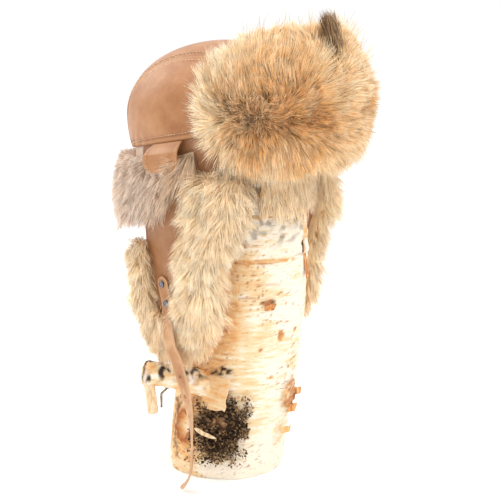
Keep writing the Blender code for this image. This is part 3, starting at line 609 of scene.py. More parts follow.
def blackened_pewter(name, dark, pale):
    """Cast pewter, blackened and rubbed bright on its high places."""
    made, tree, shader = blank(name, 0.38, {"Metallic": 1.0})
    place = add(tree, "TexCoord").outputs["Object"]
    stain = add(tree, "TexNoise", {"Vector": place, "Scale": 1 / (1.6 * MM), "Detail": 4.0})
    edge = add(tree, "Attribute", attribute_name="edge")
    high = add(tree, "Math", {0: stain.outputs["Fac"], 1: edge.outputs["Fac"]}, operation="MULTIPLY_ADD")
    high.inputs[2].default_value = 0.25
    tone = add(tree, "ValToRGB", {"Fac": high.outputs[0]}, ((0.25, dark), (0.75, pale)))
    tree.links.new(tone.outputs["Color"], shader.inputs["Base Color"])
    rough = add(tree, "MapRange", {"Value": stain.outputs["Fac"], "To Min": 0.28, "To Max": 0.5})
    tree.links.new(rough.outputs["Result"], shader.inputs["Roughness"])
    return made


def studio_paper(name):
    """Matt white background paper, unprinted, with the faintest mottling."""
    made, tree, shader = blank(name, 0.95, {"Specular IOR Level": 0.1})
    place = add(tree, "TexCoord").outputs["Object"]
    pulp = add(tree, "TexNoise", {"Vector": place, "Scale": 3.0})
    tone = add(tree, "ValToRGB", {"Fac": pulp.outputs["Fac"]}, ((0.3, "FEFEFE"), (0.7, "FFFFFF")))
    tree.links.new(tone.outputs["Color"], shader.inputs["Base Color"])
    return made


_finishes = {}


def finish(key):
    """The finish of that name, made once."""
    if key not in _finishes:
        _finishes[key] = {
            "hide": lambda: waxed_cowhide("waxed_tan_cowhide", "9C6236", "B0794B", "C08C60", 0.46),
            "flap": lambda: waxed_cowhide("waxed_flap_cowhide", "905C36", "A26E44", "B27F57", 0.46),
            "strap": lambda: waxed_cowhide("oiled_strap_cowhide", "A06A42", "BC8659", "DDB48A", 0.5),
            "band": lambda: waxed_cowhide("pale_nape_cowhide", "D9B594", "EACDB2", "F6E4D2", 0.55),
            "lining": lambda: brushed_suede("rust_suede_lining", "A85A28", "D08048"),
            "thread": lambda: linen_thread("waxed_linen_thread", "C79A70", "EFCFA9"),
            # The first colour of each fur band, at the root, is darker, partly as painted shade.
            "brim": lambda: coyote_fur(
                "coyote_brim_fur",
                ("DCBC8C", "FFE8BC", "FFF2D2", "FFFCF0"),
                ("B08448", "FACA82", "F0B464", "FFEEC0"),
                ("CDB090", "F2DCBE", "EED6B6", "FDF6E8"),
                "4A2814",
            ),
            "ears": lambda: coyote_fur(
                "coyote_belly_fur",
                ("F2CE9E", "FFEAC2", "FFF2D4", "FFFCF0"),
                ("E4B276", "FAD29A", "F8C88C", "FFF0CC"),
                ("CEA67E", "ECD0A8", "E6C69E", "FAECD4"),
                "6A442C",
            ),
            "nape": lambda: coyote_fur(
                "coyote_flank_fur",
                ("D0B498", "FAE4CC", "FCE6CE", "FFF8EC"),
                ("9A7A56", "E2B888", "D4A87A", "FCE6C4"),
                ("B8A496", "E8D6C8", "E2CEBE", "FCF2EA"),
                "4A3A2E",
            ),
            "bark": lambda: silver_birch(
                "silver_birch_bark", ("F6EAD6", "EED6AC"), ("E9B578", "D28E50"),
                ("A87444", "AA5A28"), "3A2C22",
            ),
            "inner": lambda: inner_bark("torn_inner_bark", "A85E2A", "D08A4C", "F0BE84"),
            "straw": lambda: inner_bark("pale_birch_paper", "DE9E5C", "F0BC7C", "FBDDA8"),
            "wood": lambda: inner_bark("dry_birch_wood", "D0A878", "EBCFA6", "F8E6C8"),
            "twig": lambda: inner_bark("grey_twig_bark", "4A3C30", "8C7864", "D8C6B0"),
            "moss": lambda: dry_moss("dry_moss_and_lichen", "2C1E16", "66492F", "CDAA7C"),
            "pewter": lambda: blackened_pewter("blackened_pewter", "3A3A40", "A4A4AC"),
            "paper": lambda: studio_paper("white_studio_paper"),
        }[key]()
    return _finishes[key]


# Lines of the hat


def tuck(z):
    """How far what hangs below the widest place is drawn in, as a share of the size there."""
    below = np.clip(WIDEST - z, 0.0, TUCK_DEPTH)
    return 1 - TUCK_SHARE * (below / TUCK_DEPTH) ** 2


def hem_height(y):
    """Height of the crown's hem, which rises towards the brow."""
    return WIDEST - np.maximum(HEM_LEAST, HEM_DROP + y * math.tan(HEM_SLOPE))


def crown_outward(points):
    """Directions out of the crown at these points."""
    up = np.maximum(points[..., 2] - WIDEST, 0.0) / CROWN_RISE**2
    lean = np.stack([points[..., 0] / HALF_WIDTH**2, points[..., 1] / HALF_LENGTH**2, up], axis=-1)
    return unit(lean)


def strip_line(x, fine=72):
    """Outer line of the crown's strip from brow to nape, at this distance from the middle."""
    share = math.sqrt(1 - (x / HALF_WIDTH) ** 2)
    y = HALF_LENGTH * share
    turn = np.linspace(0.0, math.pi, fine)
    arch = np.stack([np.full(fine, x), -y * np.cos(turn), WIDEST + CROWN_RISE * share * np.sin(turn)], 1)
    ends = []
    for place in (-y, y):
        z = np.linspace(hem_height(place), WIDEST, 6)[:5]
        ends.append(np.stack([x * tuck(z), place * tuck(z), z], 1))
    return np.concatenate([ends[0], arch, ends[1][::-1]])


def side_line(y, fine=40):
    """Outer line of a side panel from its seam down to the hem, at this place along Y."""
    share = math.sqrt(1 - (y / HALF_LENGTH) ** 2)
    widest = HALF_WIDTH * share
    turn = math.acos(min((HALF_STRIP + SEAM) / widest, 1.0)) * np.linspace(1.0, 0.0, fine)
    arch = np.stack([widest * np.cos(turn), np.full(fine, y), WIDEST + CROWN_RISE * share * np.sin(turn)], 1)
    z = np.linspace(WIDEST, hem_height(y), 7)[1:]
    return np.concatenate([arch, np.stack([widest * tuck(z), y * tuck(z), z], 1)])


def skirt(axis):
    """Half the width or length of what hangs inside the hem."""
    if axis == 0:
        return HALF_WIDTH * tuck(hem_height(0.0)) - LEATHER - FIT
    return HALF_LENGTH * (1 - TUCK_SHARE) - LEATHER - FIT


def around(side, angle, offset, z):
    """Points round the head: side -1 is the right ear, offset is outwards from the leather."""
    turn = np.radians(angle)
    x = (skirt(0) + offset) * np.cos(turn) * side
    y = (skirt(1) + offset) * np.sin(turn)
    return np.stack(np.broadcast_arrays(x, y, z), axis=-1)


def hanging(side, angle, offset, z):
    """Points on a flap, which hangs straighter in front of the ear than the head is round."""
    angle, offset, z = np.broadcast_arrays(angle, offset, z)
    point = around(side, angle, offset, z)
    free = ease(WIDEST - z, STRAIGHT[0], STRAIGHT[0] + STRAIGHT[1]) * (angle < 0)
    straight = np.stack([side * (skirt(0) + offset), np.radians(angle) * skirt(1), z], axis=-1)
    point = point + (straight - point) * free[..., None]
    if side > 0:
        point[..., 1] -= LEFT_FORWARD * ease(WIDEST - z, SWING[0], SWING[0] + SWING[1])
    return point


def flap_top(angle):
    """Height of a flap's upper edge, under the crown's hem."""
    return hem_height(skirt(1) * np.sin(np.radians(angle))) + FLAP_LAP


def flap_grid(side, offset, rows=90, columns=60, draw_in=0.0):
    """Points over an ear flap, from its upper edge down and from its front edge back."""
    table = np.array([row_at(FLAP_ROWS, i / rows) for i in range(rows + 1)])
    across = np.linspace(0.0, 1.0, columns + 1)
    angle = table[:, 2:3] + (table[:, 1:2] - table[:, 2:3]) * across
    top = flap_top(angle)
    grid = hanging(side, angle, offset, top - (top - FLAP_FOOT) * table[:, 0:1])
    middle = grid[:, columns // 2:columns // 2 + 1]
    return grid + (middle - grid) * draw_in


def head_outward(grid):
    """Directions out of the head, level, at these points of what hangs from it."""
    lean = np.stack(
        [grid[..., 0] / skirt(0) ** 2, grid[..., 1] / skirt(1) ** 2, np.zeros(grid.shape[:-1])], axis=-1
    )
    return unit(lean)


# Leather work


def make_crown(stitch_pitch):
    """The crown's strip and side panels, with rolled seams, gathers at the hem and stitches."""
    strip = np.stack([resample(strip_line(x), 200) for x in np.linspace(-HALF_STRIP, HALF_STRIP, 65)])
    out = crown_outward(strip)
    from_seam = np.broadcast_to(np.linspace(0, 2 * HALF_STRIP, 65)[:, None], strip.shape[:2])
    from_seam = np.minimum(from_seam, 2 * HALF_STRIP - from_seam)
    swell = 1.3 * MM * mottle(strip, 38 * MM, 4)
    rolled = 0.75 * MM * ridge(from_seam, 1.2 * MM, 2.0 * MM)
    furrow = 0.45 * MM * (ridge(from_seam, 3.6 * MM, MM) + ridge(from_seam, 7.2 * MM, MM))
    pucker = 0.25 * MM * mottle(strip, 4 * MM, 5) * ease(12 * MM - from_seam, 0, 8 * MM)
    hide = finish("hide")
    relief = swell * ease(from_seam, 0, 20 * MM) + rolled - furrow + pucker
    # Painted shade in the furrow between the two rows of stitches beside each seam.
    crease_shade = 0.35 * ridge(from_seam, 5.2 * MM, 3.0 * MM)
    piece = hide_piece("crown_strip_hide", strip, out, LEATHER * 0.9, hide, relief, crease_shade=crease_shade)
    dress(piece, "tan_leather", "crown_strip")
    runs = []
    for place in (3.6 * MM, 7.2 * MM):
        k = int(round(place / (2 * HALF_STRIP) * 64))
        for column in (k, 64 - k):
            line = strip[column][4:-4] + out[column][4:-4] * 0.25 * MM
            runs.append((line, out[column][4:-4]))
    reach = HALF_LENGTH * math.sqrt(1 - ((HALF_STRIP + SEAM) / HALF_WIDTH) ** 2)
    for side, word in ((-1, "right"), (1, "left")):
        places = reach * np.sin(math.pi * (np.linspace(0, 1, 141) - 0.5))
        panel = np.stack([resample(side_line(y), 60) for y in places])
        panel[..., 0] *= side
        out = crown_outward(panel)
        down = np.linalg.norm(np.diff(panel, axis=1), axis=2)
        from_hem = np.concatenate(
            [np.cumsum(down[:, ::-1], axis=1)[:, ::-1], np.zeros((len(panel), 1))], axis=1
        )
        below_seam = from_hem[:, :1] - from_hem
        back = ease(panel[..., 1], 20 * MM, 75 * MM)
        gathers = np.sin(panel[..., 1] / (2.1 * MM) + 2.5 * blotches(panel, 12 * MM, 8)) * back
        gathers = gathers * np.exp(-(from_hem / (12 * MM)) ** 2) * 0.8 * MM
        folds = (
            2.4 * MM * mottle(panel, 46 * MM, 9, (1, 1, 1.6))
            + 0.9 * MM * mottle(panel, 15 * MM, 11, (1, 1, 2.2))
        )
        rolled = 0.8 * MM * ridge(below_seam, 1.0 * MM, 1.8 * MM)
        rolled = rolled + 0.9 * MM * ridge(from_hem, 2.0 * MM, 2.2 * MM)
        furrow = 0.5 * MM * ridge(from_hem, 4.8 * MM, MM) + 0.4 * MM * ridge(below_seam, 3.4 * MM, MM)
        calm = ease(np.minimum(from_hem, below_seam), 0, 14 * MM)
        # Painted shade in the furrow over the hem's stitches and in the hollows of the gathers.
        crease_shade = 0.4 * ridge(from_hem, 5.6 * MM, 1.6 * MM) + 0.3 * ease(-gathers, 0.1 * MM, 0.8 * MM)
        piece = hide_piece(
            f"crown_side_hide_{word}", panel, out, LEATHER * 0.9, hide,
            folds * calm + rolled - furrow + gathers, crease_shade=crease_shade,
        )
        dress(piece, "tan_leather", f"crown_side_{word}")
        runs.append((panel[4:-4, 56] + out[4:-4, 56] * 0.3 * MM, out[4:-4, 56]))
        runs.append((panel[14:-14, 4] + out[14:-14, 4] * 0.25 * MM, out[14:-14, 4]))
    dress(thread("crown_stitches", runs, stitch_pitch, finish("thread")), "tan_leather")


def make_flaps():
    """Ear flaps and the suede on their inner side."""
    for side, word in ((-1, "right"), (1, "left")):
        grid = flap_grid(side, 0.0)
        out = head_outward(grid)
        folds = (
            2.0 * MM * mottle(grid, 42 * MM, 14, (1, 1, 1.8))
            + 0.7 * MM * mottle(grid, 12 * MM, 15, (1, 1, 2.0))
        )
        inset = edge_distance(grid)
        rolled = 0.6 * MM * ridge(inset, 1.6 * MM, 1.6 * MM) - 0.4 * MM * ridge(inset, 4.2 * MM, MM)
        relief = (
            folds * ease(inset, 0, 10 * MM) * ease(hem_height(grid[..., 1]) - grid[..., 2], 20 * MM, 45 * MM)
            + rolled
        )
        calm = np.where(hem_height(grid[..., 1]) - grid[..., 2] < 4 * MM, np.minimum(relief, 0.0), relief)
        # The crease value here is painted shade in the furrow inside the flap's rolled border.
        piece = hide_piece(
            f"ear_flap_hide_{word}", grid, out, LEATHER * 0.9, finish("flap"), calm,
            crease_shade=0.3 * ridge(inset, 4.4 * MM, 1.4 * MM),
        )
        dress(piece, "tan_leather", f"ear_flap_{word}")
        grid = flap_grid(side, LINING_IN, 60, 40, draw_in=0.06)
        out = head_outward(grid)
        piece = hide_piece(
            f"ear_lining_suede_{word}", grid, out, LINING * 0.95, finish("lining"),
            -0.3 * MM * blotches(grid, 10 * MM, 19),
        )
        dress(piece, "rust_lining", f"ear_lining_{word}")


def make_band():
    """The leather wall under the nape's fur."""
    start = FLAP_ROWS[0][1] + 1.0
    angle = np.linspace(start, 180 - start, 91)
    top = flap_top(angle)
    z = top - (top - BAND_FOOT) * np.linspace(0, 1, 41)[:, None]
    grid = around(-1, angle[None], 0.0, z)
    relief = 0.9 * MM * (blotches(grid, 22 * MM, 23) - 0.6)
    dress(
        hide_piece(
            "nape_band_hide", grid, head_outward(grid), LEATHER * 0.9, finish("band"),
            np.minimum(relief, 0.2 * MM),
        ),
        "tan_leather", "nape_band",
    )


def packed(node):
    """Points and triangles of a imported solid, with its shared corners made one."""
    bm = bmesh.new()
    bm.from_mesh(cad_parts[node].data)
    bmesh.ops.remove_doubles(bm, verts=bm.verts, dist=0.01 * MM)
    bmesh.ops.triangulate(bm, faces=bm.faces)
    bm.verts.index_update()
    points = np.array([tuple(v.co) for v in bm.verts])
    faces = np.array([[v.index for v in f.verts] for f in bm.faces])
    bm.free()
    return points, faces


def onto(node, grid, outward):
    """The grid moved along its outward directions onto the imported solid's outer face."""
    points, faces = packed(node)
    tree = BVHTree.FromPolygons([Vector(p) for p in points], [tuple(f) for f in faces])
    made = grid.reshape(-1, 3).copy()
    for i, way in enumerate(outward.reshape(-1, 3)):
        hit = tree.ray_cast(Vector(made[i] + way * 0.1), Vector(-way))[0]
        made[i] = hit or tree.find_nearest(Vector(made[i] + way * 0.01))[0]
    return made.reshape(grid.shape)


def make_tabs(stitch_pitch):
    """Leather tabs that lie on the nape's fur."""
    for side, word in ((-1, "right"), (1, "left")):
        low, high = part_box(f"tab_{word}")
        rows, columns = 44, 36
        down = np.linspace(0.02, 0.985, rows + 1)[:, None]
        rear = 20.2 - 7.0 * np.maximum(down - 0.55, 0.0) ** 2 * 4
        angle = -0.7 + (rear + 0.7) * np.linspace(0, 1, columns + 1)
        hem = hem_height(skirt(1) * np.sin(np.radians(angle)))
        z = hem - 0.5 * MM - (high.z - low.z - 8 * MM) * down
        grid = around(side, angle, 10 * MM, np.maximum(z, low.z + 0.3 * MM))
        out = head_outward(grid)
        grid = onto(f"tab_{word}", grid, out)
        inset = edge_distance(grid)
        relief = 0.5 * MM * ridge(inset, 1.5 * MM, 1.3 * MM) - 0.3 * MM * ridge(inset, 3.4 * MM, 0.8 * MM)
        piece = hide_piece(
            f"tab_hide_{word}", grid, out, 2.0 * MM, finish("hide"), relief * ease(down, 0.0, 0.1),
            wear=3 * MM,
        )
        dress(piece, "tan_leather", f"tab_{word}")
        runs = [(grid[6:-3, -4] + out[6:-3, -4] * 0.2 * MM, out[6:-3, -4])]
        dress(thread(f"tab_stitches_{word}", runs, stitch_pitch, finish("thread")), "tan_leather")


# Straps, rivets and buckle


def route_points(side, route, count):
    """Centre line of a strap, the way out of the head and the turn of its face."""
    made = np.array([row_at(route, i / count) for i in range(count + 1)])
    out, y, step, turn = made.T
    z = FLAP_FOOT + np.where(step > 0, STRAP_WIDTH, FLAP_FOOT) * step
    angle = np.degrees(np.arcsin(y * STRAP_WIDTH / skirt(1)))
    heading = np.stack([side * np.cos(np.radians(angle)), np.sin(np.radians(angle)), np.zeros(len(z))], 1)
    at = hanging(side, angle, 0.0, z) + heading * (out * STRAP_WIDTH + STRAP_OUT)[:, None]
    return at, heading, turn


def strap_frame(side, route, count):
    """Centre line, direction across and direction out of the face of a strap."""
    at, heading, turn = route_points(side, route, count)
    along = unit(np.gradient(at, axis=0))
    across = unit(np.cross(along, heading))
    twist = np.sin(np.radians(turn))[:, None]
    across = unit(across + (heading * side - across) * twist)
    across = unit(across - along * np.einsum("ij,ij->i", across, along)[:, None])
    face = unit(np.cross(across, along))
    flip = np.sign(np.einsum("ij,ij->i", face, heading))[:, None]
    return at, across, np.where(flip == 0, 1, flip) * face, heading


def strap_body(name, at, across, face, ends, material):
    """A strap of the full width with rounded ends and edges, through these centre points."""
    rows, columns = len(at), 17
    reach = reach_along(at)
    width = np.full(rows, STRAP_WIDTH)
    for left, rounded in zip((reach, reach[-1] - reach), ends):
        if rounded:
            near = np.clip(left / (STRAP_WIDTH / 2), 0.0, 1.0)
            width = np.minimum(width, STRAP_WIDTH * np.sqrt(np.maximum(1 - (1 - near) ** 2, 0.05)))
    grid = at[:, None] + across[:, None] * (width[:, None, None] * (np.linspace(-0.5, 0.5, columns)[:, None]))
    inset = STRAP_WIDTH * (0.5 - np.abs(np.linspace(-0.5, 0.5, columns)))[None]
    relief = -0.5 * MM * np.exp(-(inset / (0.9 * MM)) ** 2) - 0.22 * MM * ridge(inset, 2.2 * MM, 0.5 * MM)
    bend = 0.3 * MM * mottle(grid, 9 * MM, 31)
    return hide_piece(
        name, grid, np.broadcast_to(face[:, None], grid.shape), STRAP_LEATHER * 0.95, material, relief + bend,
        wear=1.6 * MM,
    )


def punch(strap, places):
    """Cuts round holes through the strap at these places and directions."""
    bm = bmesh.new()
    for at, face in places:
        turn = Vector(face).to_track_quat("Z", "Y").to_matrix().to_4x4()
        turn.translation = Vector(at)
        bmesh.ops.create_cone(
            bm, cap_ends=True, segments=24, radius1=HOLE_RADIUS * 0.9, radius2=HOLE_RADIUS * 1.05,
            depth=STRAP_LEATHER * 6, matrix=turn,
        )
    mesh = bpy.data.meshes.new("hole_punch")
    bm.to_mesh(mesh)
    bm.free()
    tool = bpy.data.objects.new("hole_punch", mesh)
    bpy.context.scene.collection.objects.link(tool)
    cut = strap.modifiers.new("Holes", "BOOLEAN")
    cut.object = tool
    cut.operation = "DIFFERENCE"
    cut.solver = "EXACT"
    ready = bpy.data.meshes.new_from_object(strap.evaluated_get(bpy.context.evaluated_depsgraph_get()))
    strap.modifiers.clear()
    strap.data = ready
    bpy.data.objects.remove(tool)


def make_straps():
    """The punched strap, and the strap that is folded round the buckle's wire."""
    at, across, face, heading = strap_frame(-1, STRAP_ROUTE, 330)
    strap = strap_body("punched_strap", at, across, face, (True, True), finish("strap"))
    start = int(np.argmax(at[:, 2] < FLAP_FOOT * HOLE_START))
    reach = reach_along(at[start:])
    rows = [start + int(np.argmin(np.abs(reach - HOLE_PITCH * k))) for k in range(HOLE_COUNT)]
    punch(strap, [(at[i], face[i]) for i in rows])
    dress(strap, "strap_leather", "strap_right")
    at, across, face, heading = strap_frame(1, BUCKLE_STRAP_ROUTE, 130)
    foot, out, wide = at[-1], heading[-1], across[-1]
    along = unit(at[-1] - at[-4])
    inwards = np.cross(along, wide)
    inwards = inwards * -np.sign(inwards @ out)
    fold = BUCKLE_WIRE + SEAM + STRAP_LEATHER
    centre = foot + inwards * fold
    turns = np.linspace(0, math.pi, 25)[1:, None]
    bent = centre - inwards * fold * np.cos(turns) + along * fold * np.sin(turns)
    tail = centre + inwards * fold - along * 16 * MM * np.linspace(0, 1, 14)[1:, None]
    line = np.concatenate([at, bent, tail])
    sweep = np.concatenate(
        [face, -inwards * np.cos(turns) + along * np.sin(turns), np.tile(inwards, (13, 1))]
    )
    sides = np.concatenate([across, np.tile(wide, (len(line) - len(at), 1))])
    strap = strap_body("buckle_strap", line, sides, sweep, (True, False), finish("strap"))
    dress(strap, "strap_leather", "strap_left")


# Rivet from its foot to the middle of its top: share of the height, share of the radius, how bright
RIVET = (
    (0.00, 1.00, 0.6),
    (0.25, 0.99, 0.6),
    (0.42, 0.90, 0.9),
    (0.52, 0.70, 0.1),
    (0.60, 0.66, 0.0),
    (0.68, 0.78, 0.7),
    (0.82, 0.80, 1.0),
    (0.94, 0.55, 0.6),
    (1.00, 0.10, 0.1),
    (1.00, -0.30, 0.0),
)
RIVET_SIDES = 32


def make_metal():
    """Rivets with a sunk ring round a flat dome, and a round wire buckle."""
    for word in ("right", "left"):
        for number in (1, 2):
            node = f"rivet_{word}_{number}"
            points, _ = packed(node)
            centre = points.mean(axis=0)
            route = STRAP_ROUTE if word == "right" else BUCKLE_STRAP_ROUTE
            at, heading, _ = route_points(-1 if word == "right" else 1, route, 400)
            out = heading[int(np.argmin(np.abs(at[:, 2] - centre[2])))]
            height = (points @ out).max() - (points @ out).min()
            radius = (points[:, 2].max() - points[:, 2].min()) / 2
            base = centre + out * ((points @ out).min() - centre @ out)
            across = np.cross(-DOWN, out)
            turns = np.arange(RIVET_SIDES) * 2 * math.pi / RIVET_SIDES
            ring = across * np.cos(turns)[:, None] - DOWN * np.sin(turns)[:, None]
            made = [base + ring * radius * max(wide, 0.02) + out * height * rise for wide, rise, _ in RIVET]
            bright = np.repeat([shine for _, _, shine in RIVET], RIVET_SIDES)
            faces = grid_quads(len(RIVET), RIVET_SIDES, closed=True)
            cap = np.arange(RIVET_SIDES)[None, ::-1]
            obj = mesh_object(
                f"domed_rivet_{word}_{number}", np.concatenate(made), [faces, cap], finish("pewter"),
                edge=bright,
            )
            dress(obj, "old_metal", node)
    points, faces = packed("buckle")
    obj = mesh_object("wire_buckle", points, faces, finish("pewter"), edge=np.full(len(points), 0.6))
    smooth = obj.modifiers.new("Round wire", "SUBSURF")
    smooth.levels = 2
    smooth.render_levels = 2
    ready = bpy.data.meshes.new_from_object(obj.evaluated_get(bpy.context.evaluated_depsgraph_get()))
    obj.modifiers.clear()
    obj.data = ready
    dress(obj, "old_metal", "buckle")


# Fur

HAIR_TAPER = np.array((1.0, 0.85, 0.55, 0.0))
# The wool takes a colour near the hair's root, so it carries the root's painted shade too.
WOOL_SHADE = 0.18  # colour of the wool, as a share of the way along a hair


def relax(points, faces, rounds):
    """The points drawn towards their neighbours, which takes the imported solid's locks off it."""
    ends = np.concatenate([faces[:, [0, 1]], faces[:, [1, 2]], faces[:, [2, 0]]])
    count = np.maximum(np.bincount(ends[:, 0], minlength=len(points)), 1)[:, None]
    for _ in range(rounds):
        total = np.zeros_like(points)
        np.add.at(total, ends[:, 0], points[ends[:, 1]])
        points = points + 0.5 * (total / count - points)
    return points


def point_normals(points, faces):
    """Directions out of a mesh at its points."""
    crossed = np.cross(points[faces[:, 1]] - points[faces[:, 0]], points[faces[:, 2]] - points[faces[:, 0]])
    total = np.zeros_like(points)
    for k in range(3):
        np.add.at(total, faces[:, k], crossed)
    return unit(total)


def pelt(node, sunk, rounds=3):
    """Skin and underfur of a fur solid: its smooth body, sunk below its outer form."""
    points, faces = packed(node)
    points = relax(points, faces, rounds)
    normals = point_normals(points, faces)
    return points - normals * sunk, faces, normals


def scatter(points, faces, normals, count, keep, seed):
    """Hair roots spread evenly over the faces whose middle and normal keep says to use."""
    random = np.random.default_rng(seed)
    corners = points[faces]
    crossed = np.cross(corners[:, 1] - corners[:, 0], corners[:, 2] - corners[:, 0])
    area = np.linalg.norm(crossed, axis=1) * keep(corners.mean(axis=1), unit(crossed))
    chosen = random.choice(len(faces), count, p=area / area.sum())
    a, b = random.random((2, count))
    flip = a + b > 1
    a, b = np.where(flip, 1 - a, a), np.where(flip, 1 - b, b)
    share = np.stack([1 - a - b, a, b], 1)[..., None]
    return (corners[chosen] * share).sum(axis=1), unit((normals[faces[chosen]] * share).sum(axis=1))


def grow(name, roots, normals, start, end, length, width, clump, colours, material, seed, gather=14):
    """Tapered hairs that leave their roots along start and bend to end, drawn into locks.

    length and width are one value a hair, and colours are values from 0 to 1 a hair.
    """
    random = np.random.default_rng(seed)
    count, steps = len(roots), len(HAIR_TAPER) - 1
    wisp = random.random(count) < 0.035
    length = length * np.where(wisp, 1.35, 1.0)
    width = width * np.where(wisp, 0.6, 1.0)
    start = unit(start + 0.22 * random.normal(size=(count, 3)))
    end = unit(end + 0.20 * random.normal(size=(count, 3)))
    paths = [roots]
    for k in range(steps):
        share = (k + 0.5) / steps
        paths.append(paths[-1] + unit(start * (1 - share) + end * share) * (length / steps)[:, None])
    paths = np.stack(paths, axis=1)
    leaders = np.arange(0, count, gather)
    tree = KDTree(len(leaders))
    for i, k in enumerate(leaders):
        tree.insert(Vector(roots[k]), i)
    tree.balance()
    lead = leaders[[tree.find(Vector(p))[1] for p in roots]]
    along = np.linspace(0, 1, steps + 1)
    pull = (np.asarray(clump) * np.ones(count))[:, None, None] * (along**1.2)[None, :, None]
    led = paths[lead] + (roots - roots[lead])[:, None] * 0.25
    paths = paths + (led - paths) * pull * random.uniform(0.55, 1.0, count)[:, None, None]
    tangent = unit(paths[:, -1] - paths[:, 0])
    roll = random.normal(0, 0.7, count)[:, None]
    facing = unit(normals + 0.35 * unit(np.cross(normals, tangent)) * roll)
    across = unit(np.cross(tangent, facing))
    half = (width[:, None] * HAIR_TAPER)[..., None] * across[:, None] / 2
    sides = np.stack(
        [paths[:, :-1] - half[:, :-1], paths[:, :-1] + half[:, :-1]], axis=2
    ).reshape(count, -1, 3)
    points = np.concatenate([sides, paths[:, -1:]], axis=1)
    each = 2 * steps + 1
    template = []
    for k in range(steps - 1):
        template += [(2 * k, 2 * k + 1, 2 * k + 3), (2 * k, 2 * k + 3, 2 * k + 2)]
    template.append((2 * steps - 2, 2 * steps - 1, 2 * steps))
    faces = (np.array(template)[None] + each * np.arange(count)[:, None, None]).reshape(-1, 3)
    share = np.concatenate([np.repeat(along[:-1], 2), along[-1:]])
    values = {key: np.repeat(value, each) for key, value in colours.items()}
    values["jet"] = values["jet"] * np.tile(ease(share, 0.2, 0.75), count)
    return mesh_object(name, points.reshape(-1, 3), faces, material, along=np.tile(share, count), **values)


def underfur(name, points, faces, colours, tone, material, jet=0.0):
    """Dense wool between the hairs, seen only as shade at their roots."""
    even = {"tone": np.full(len(points), tone), "jet": colours["jet"] * jet}
    return mesh_object(
        name, points, faces, material, along=np.full(len(points), WOOL_SHADE), **{**colours, **even}
    )


def tufted(roots, size, seed):
    """The way that tufts of about this size lean."""
    return np.stack([mottle(roots, size, seed + k) for k in range(3)], 1)


def ear_turn(places):
    """Degrees from the ear towards the nape, on either side of the head."""
    return np.degrees(np.arctan2(places[:, 1] / HALF_LENGTH, np.abs(places[:, 0]) / HALF_WIDTH))


def away_from(places, parting, normals):
    """Directions over the surface away from the line between two points, and how far off it is."""
    one, other = parting
    share = np.clip((places - one) @ (other - one) / ((other - one) @ (other - one)), 0, 1)[:, None]
    gap = places - (one + share * (other - one))
    flat = gap - normals * np.einsum("ij,ij->i", gap, normals)[:, None]
    return unit(flat), np.linalg.norm(gap, axis=1)


def brim_colours(places, random):
    """How gold, grey, black and bright the brim's fur is at these places."""
    mirrored = places * np.where(places[:, :1] > 0.02, (-1, 1, 1), (1, 1, 1))
    gold = np.full(len(places), 0.45)
    ash = np.full(len(places), 0.08)
    jet = np.full(len(places), 0.06)
    for centre, reach, warm, cool, black in BRIM_PATCHES:
        near = np.exp(-(np.linalg.norm(mirrored - np.array(centre), axis=1) / reach) ** 2)
        gold += (warm - gold) * near
        ash += (cool - ash) * near
        jet += (black - jet) * near
    mixed = blotches(places, 14 * MM, 41) * 0.6 + blotches(places, 4.5 * MM, 42, (1, 1, 0.4)) * 0.7 - 0.15
    streak = ease(blotches(places, 5 * MM, 43, (1, 1, 0.35)), 0.58, 0.8)
    gold = np.clip(gold + 0.9 * (mixed - 0.5) + random.normal(0, 0.16, len(places)), 0, 1)
    ash = np.clip(ash + random.normal(0, 0.12, len(places)), 0, 1)
    black = (
        (random.random(len(places)) < jet * (0.25 + 2.0 * streak)).astype(float)
        * random.uniform(0.6, 1.0, len(places))
    )
    return {
        "gold": gold, "ash": ash, "jet": black, "tone": np.clip(random.normal(0.62, 0.2, len(places)), 0, 1)
    }


